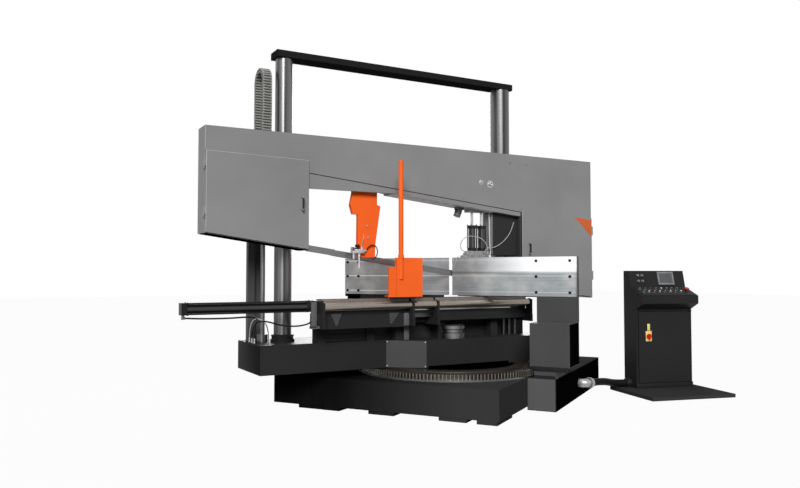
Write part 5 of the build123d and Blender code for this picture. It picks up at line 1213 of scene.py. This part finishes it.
class SAW_OT_bed_trim(bpy.types.Operator):
    """Cover plate with its bolts, in a paler paint that is partly painted light, and a near black end plate
    of painted shade on the bed
    """
    bl_idname = "saw.bed_trim"
    bl_label = "Bed covers"

    def execute(self, context):
        along = (COVER_END - COVER_START).normalized()
        out = Vector((along.y, -along.x, 0))
        a, b = COVER_START + along * 0.004, COVER_END - along * 0.004
        low, high = UP * COVER_LOW, UP * COVER_HIGH
        # A bolted cover plate whose paint, paler than the bed's, is partly painted light
        with Piece("bed_cover", "swivel", "cover_paint", "frame_grey") as cover:
            cover.prism((a + low, b + low, b + high, a + high), out * COVER_THICK)
        with Piece("cover_bolts", "swivel", "fitting_steel", "steel") as bolts:
            for at in (a + along * 0.012, b - along * 0.012):
                for z in (COVER_LOW + 0.015, COVER_HIGH - 0.012):
                    bolts.bolt(at + out * COVER_THICK + UP * z, out, context.scene.saw_sizes.bolt_head * 0.7)
        # Painted shade: a near black plate on the bed's left end
        with Piece("bed_end_shade_plate", "swivel", "end_paint", "frame_grey") as plate:
            bed_low, bed_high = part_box("swivel_frame")
            plate.box((bed_low.x - 0.003, -0.086, COVER_LOW),
                      (bed_low.x + 0.001, bed_high.y - 0.004, COVER_HIGH), 0.001)
        return {"FINISHED"}


class SAW_OT_fence_trim(bpy.types.Operator):
    """Sills under the jaws, a cover plate and a strip on the outrigger and its post, and black plates of
    painted shade on their right sides
    """
    bl_idname = "saw.fence_trim"
    bl_label = "Fence and outrigger trim"

    def execute(self, context):
        head = context.scene.saw_sizes.bolt_head * 0.8
        with Piece("outrigger_cover", "base", "outrigger_paint", "frame_grey") as cover:
            left, right, face, foot, top = 0.966, 1.249, -0.29, 0.008, 0.324
            outline = ((left, foot), (right, foot), (right, top), (left, top))
            cover.prism([fence_point(s, face, z) for s, z in outline], fence_point(0, -0.003, 0))
        sill_top = JAW_FOOT + 0.002
        with Piece("fence_sills", "base", "black_paint", "black") as sills:
            for left, right, depth in ((-1.16, -0.1, 0.09), (0.08, 0.98, 0.011)):
                sills.box((left, 0.004, sill_top - depth), (right, 0.05, sill_top), 0.002, FENCE)
        # Painted shade: black plates on the right sides of the outrigger and the post
        with Piece("side_shade_plates", "base", "deep_black", "black") as plates:
            plates.box((1.2555, -0.284, 0.008), (1.2575, 1.89, 0.322), 0.001, FENCE)
            plates.box((1.3965, -0.274, 0.452), (1.3985, 0.144, 0.88), 0.001, FENCE)
        with Piece("post_foot_strip", "base", "black_paint", "black") as strip:
            front = -0.284
            corners = ((1.03, -0.27), (1.25, -0.27), (1.25, -0.285), (1.03, -0.285))
            strip.prism([fence_point(s, t, 0.33) for s, t in corners], UP * 0.03)
            strip.box((1.0, front, 0.40), (1.38, front + 0.0035, 0.45), 0.001, FENCE)
            for s in (1.03, 1.19, 1.35):
                strip.bolt(fence_point(s, front, 0.43), FENCE @ FRONT, head)
        return {"FINISHED"}


class SAW_OT_columns(bpy.types.Operator):
    """Bolts and wipers on the column feet"""
    bl_idname = "saw.columns"
    bl_label = "Column fittings"

    def execute(self, context):
        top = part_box("column_collars")[1].z
        columns = []
        for name in ("column_left", "column_right"):
            low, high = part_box(name)
            columns.append(((low.x + high.x) / 2, (low.y + high.y) / 2, (high.x - low.x) / 2))
        with Piece("collar_bolts", "swivel", "black_paint", "black") as bolts:
            for x, y, radius in columns:
                for k in range(8):
                    turn = pi * (k + 0.5) / 4
                    at = Vector((x, y, top)) + Vector((cos(turn), sin(turn), 0)) * (radius + 0.017)
                    bolts.bolt(at, UP, context.scene.saw_sizes.bolt_head)
        with Piece("collar_wipers", "swivel", "hose_rubber", "black") as wipers:
            for x, y, radius in columns:
                inner = radius + 0.001
                wiper = ((inner, 0), (radius + 0.012, 0), (radius + 0.01, 0.012), (inner, 0.018))
                wipers.turned(wiper, (x, y, top), UP, 48)
        return {"FINISHED"}


EYE, EYE_PITCH, EYE_HEADING = (-4.522, -6.983, 1.40), radians(2.27), (0.4848, 0.8746)
LENS, SENSOR = 33.2, 36.0
# Kind, strength, spread or size, place and aim of each lamp
LAMPS = {
    "key": ("SUN", 3.08, radians(25.0), (-4.3, -7.7, 4.8), (0, 0, 0)),
    "top": ("AREA", 200.0, 4.0, (-1.0, 0.5, 9.0), (-0.5, 0.0, 1.0)),
    "back": ("SUN", 1.7, radians(30.0), (4.5, 7.5, 2.2), (0, 0, 0)),
}


def aimed(name, data, at, look):
    """Puts a lamp or a camera at a place, looking in a direction."""
    holder = bpy.data.objects.new(name, data)
    holder.location = at
    holder.rotation_euler = look.to_track_quat("-Z", "Y").to_euler()
    bpy.context.scene.collection.objects.link(holder)
    return holder


class SAW_OT_stage(bpy.types.Operator):
    """Floor, light and camera"""
    bl_idname = "saw.stage"
    bl_label = "Stage"

    def execute(self, context):
        self.add_floor(context.scene)
        self.add_world(context.scene)
        for name, (kind, strength, spread, at, aim) in LAMPS.items():
            lamp = bpy.data.lights.new(name, kind)
            lamp.energy = strength
            if kind == "SUN":
                lamp.angle = spread
            else:
                lamp.size = spread
            aimed(name, lamp, at, Vector(aim) - Vector(at))
        lens = bpy.data.cameras.new("camera")
        lens.sensor_width, lens.lens, lens.sensor_fit = SENSOR, LENS, "HORIZONTAL"
        lens.clip_end = 200.0
        level = Vector((*EYE_HEADING, 0.0)) * cos(EYE_PITCH)
        context.scene.camera = aimed("camera", lens, EYE, level + UP * sin(EYE_PITCH))
        context.scene.view_settings.view_transform = "Standard"
        return {"FINISHED"}

    def add_floor(self, scene):
        """A wide floor that is white where it is seen and grey where it throws light back."""
        bm = bmesh.new()
        bmesh.ops.create_grid(bm, x_segments=1, y_segments=1, size=40.0)
        mesh = bpy.data.meshes.new("floor")
        bm.to_mesh(mesh)
        bm.free()
        floor = bpy.data.objects.new("floor", mesh)
        scene.collection.objects.link(floor)
        f = Finish("pale_floor")
        diffuse = f.node("ShaderNodeBsdfDiffuse", None, {"Color": (*grey(0.35), 1.0)}).out(0)
        glow = f.node("ShaderNodeEmission", None, {"Color": (*grey(1.0), 1.0), "Strength": 1.0}).out(0)
        both = f.node("ShaderNodeMixShader", None, {0: f.seen() * 0.96, 1: diffuse, 2: glow}).out(0)
        f.node("ShaderNodeOutputMaterial", None, {0: both})
        mesh.materials.append(f.material)

    def add_world(self, scene):
        """A dome that is brighter above and at the left, and white where it is seen."""
        world = bpy.data.worlds.new("studio")
        scene.world = world
        world.use_nodes = True
        w = Finish("studio", world.node_tree)
        x, _, z = w.axes(w.node("ShaderNodeTexCoord").out("Generated"))
        dome = w.ramp(w.fit(z, -0.1, 0.9, 0.0, 1.0), ((0.0, grey(0.1)), (0.4, grey(0.3)), (1.0, grey(0.8))))
        left = w.fit(x, -0.6, 0.3, 1.0, 0.08)
        light = w.node("ShaderNodeBackground", None, {"Color": dome, "Strength": left * 0.55}).out(0)
        white = w.node("ShaderNodeBackground", None, {"Color": (*grey(1.0), 1.0), "Strength": 1.0}).out(0)
        both = w.node("ShaderNodeMixShader", None, {0: w.seen(), 1: light, 2: white}).out(0)
        w.node("ShaderNodeOutputWorld", None, {0: both})


class SAW_PT_panel(bpy.types.Panel):
    """The saw's pieces"""
    bl_label = "Band saw"
    bl_space_type = "VIEW_3D"
    bl_region_type = "UI"
    bl_category = "Band saw"

    def draw(self, context):
        for group in (context.scene.saw_sizes, context.scene.saw_colours):
            for key in group.__annotations__:
                self.layout.prop(group, key)
        for step in STEPS:
            self.layout.operator(step.bl_idname)


STEPS = (SAW_OT_finishes, SAW_OT_conduit, SAW_OT_bow_trim, SAW_OT_doors, SAW_OT_work_lamp, SAW_OT_guide_left,
         SAW_OT_guide_right, SAW_OT_vise, SAW_OT_chain, SAW_OT_table, SAW_OT_under_table, SAW_OT_console,
         SAW_OT_bed_trim, SAW_OT_fence_trim, SAW_OT_columns, SAW_OT_stage)
CLASSES = (SawSizes, SawColours, *STEPS, SAW_PT_panel)


def register():
    for cls in CLASSES:
        bpy.utils.register_class(cls)
    bpy.types.Scene.saw_sizes = bpy.props.PointerProperty(type=SawSizes)
    bpy.types.Scene.saw_colours = bpy.props.PointerProperty(type=SawColours)


def unregister():
    del bpy.types.Scene.saw_colours
    del bpy.types.Scene.saw_sizes
    for cls in reversed(CLASSES):
        bpy.utils.unregister_class(cls)


def main():
    register()
    for step in STEPS:
        group, call = step.bl_idname.split(".")
        getattr(getattr(bpy.ops, group), call)()


if __name__ == "__main__":
    main()
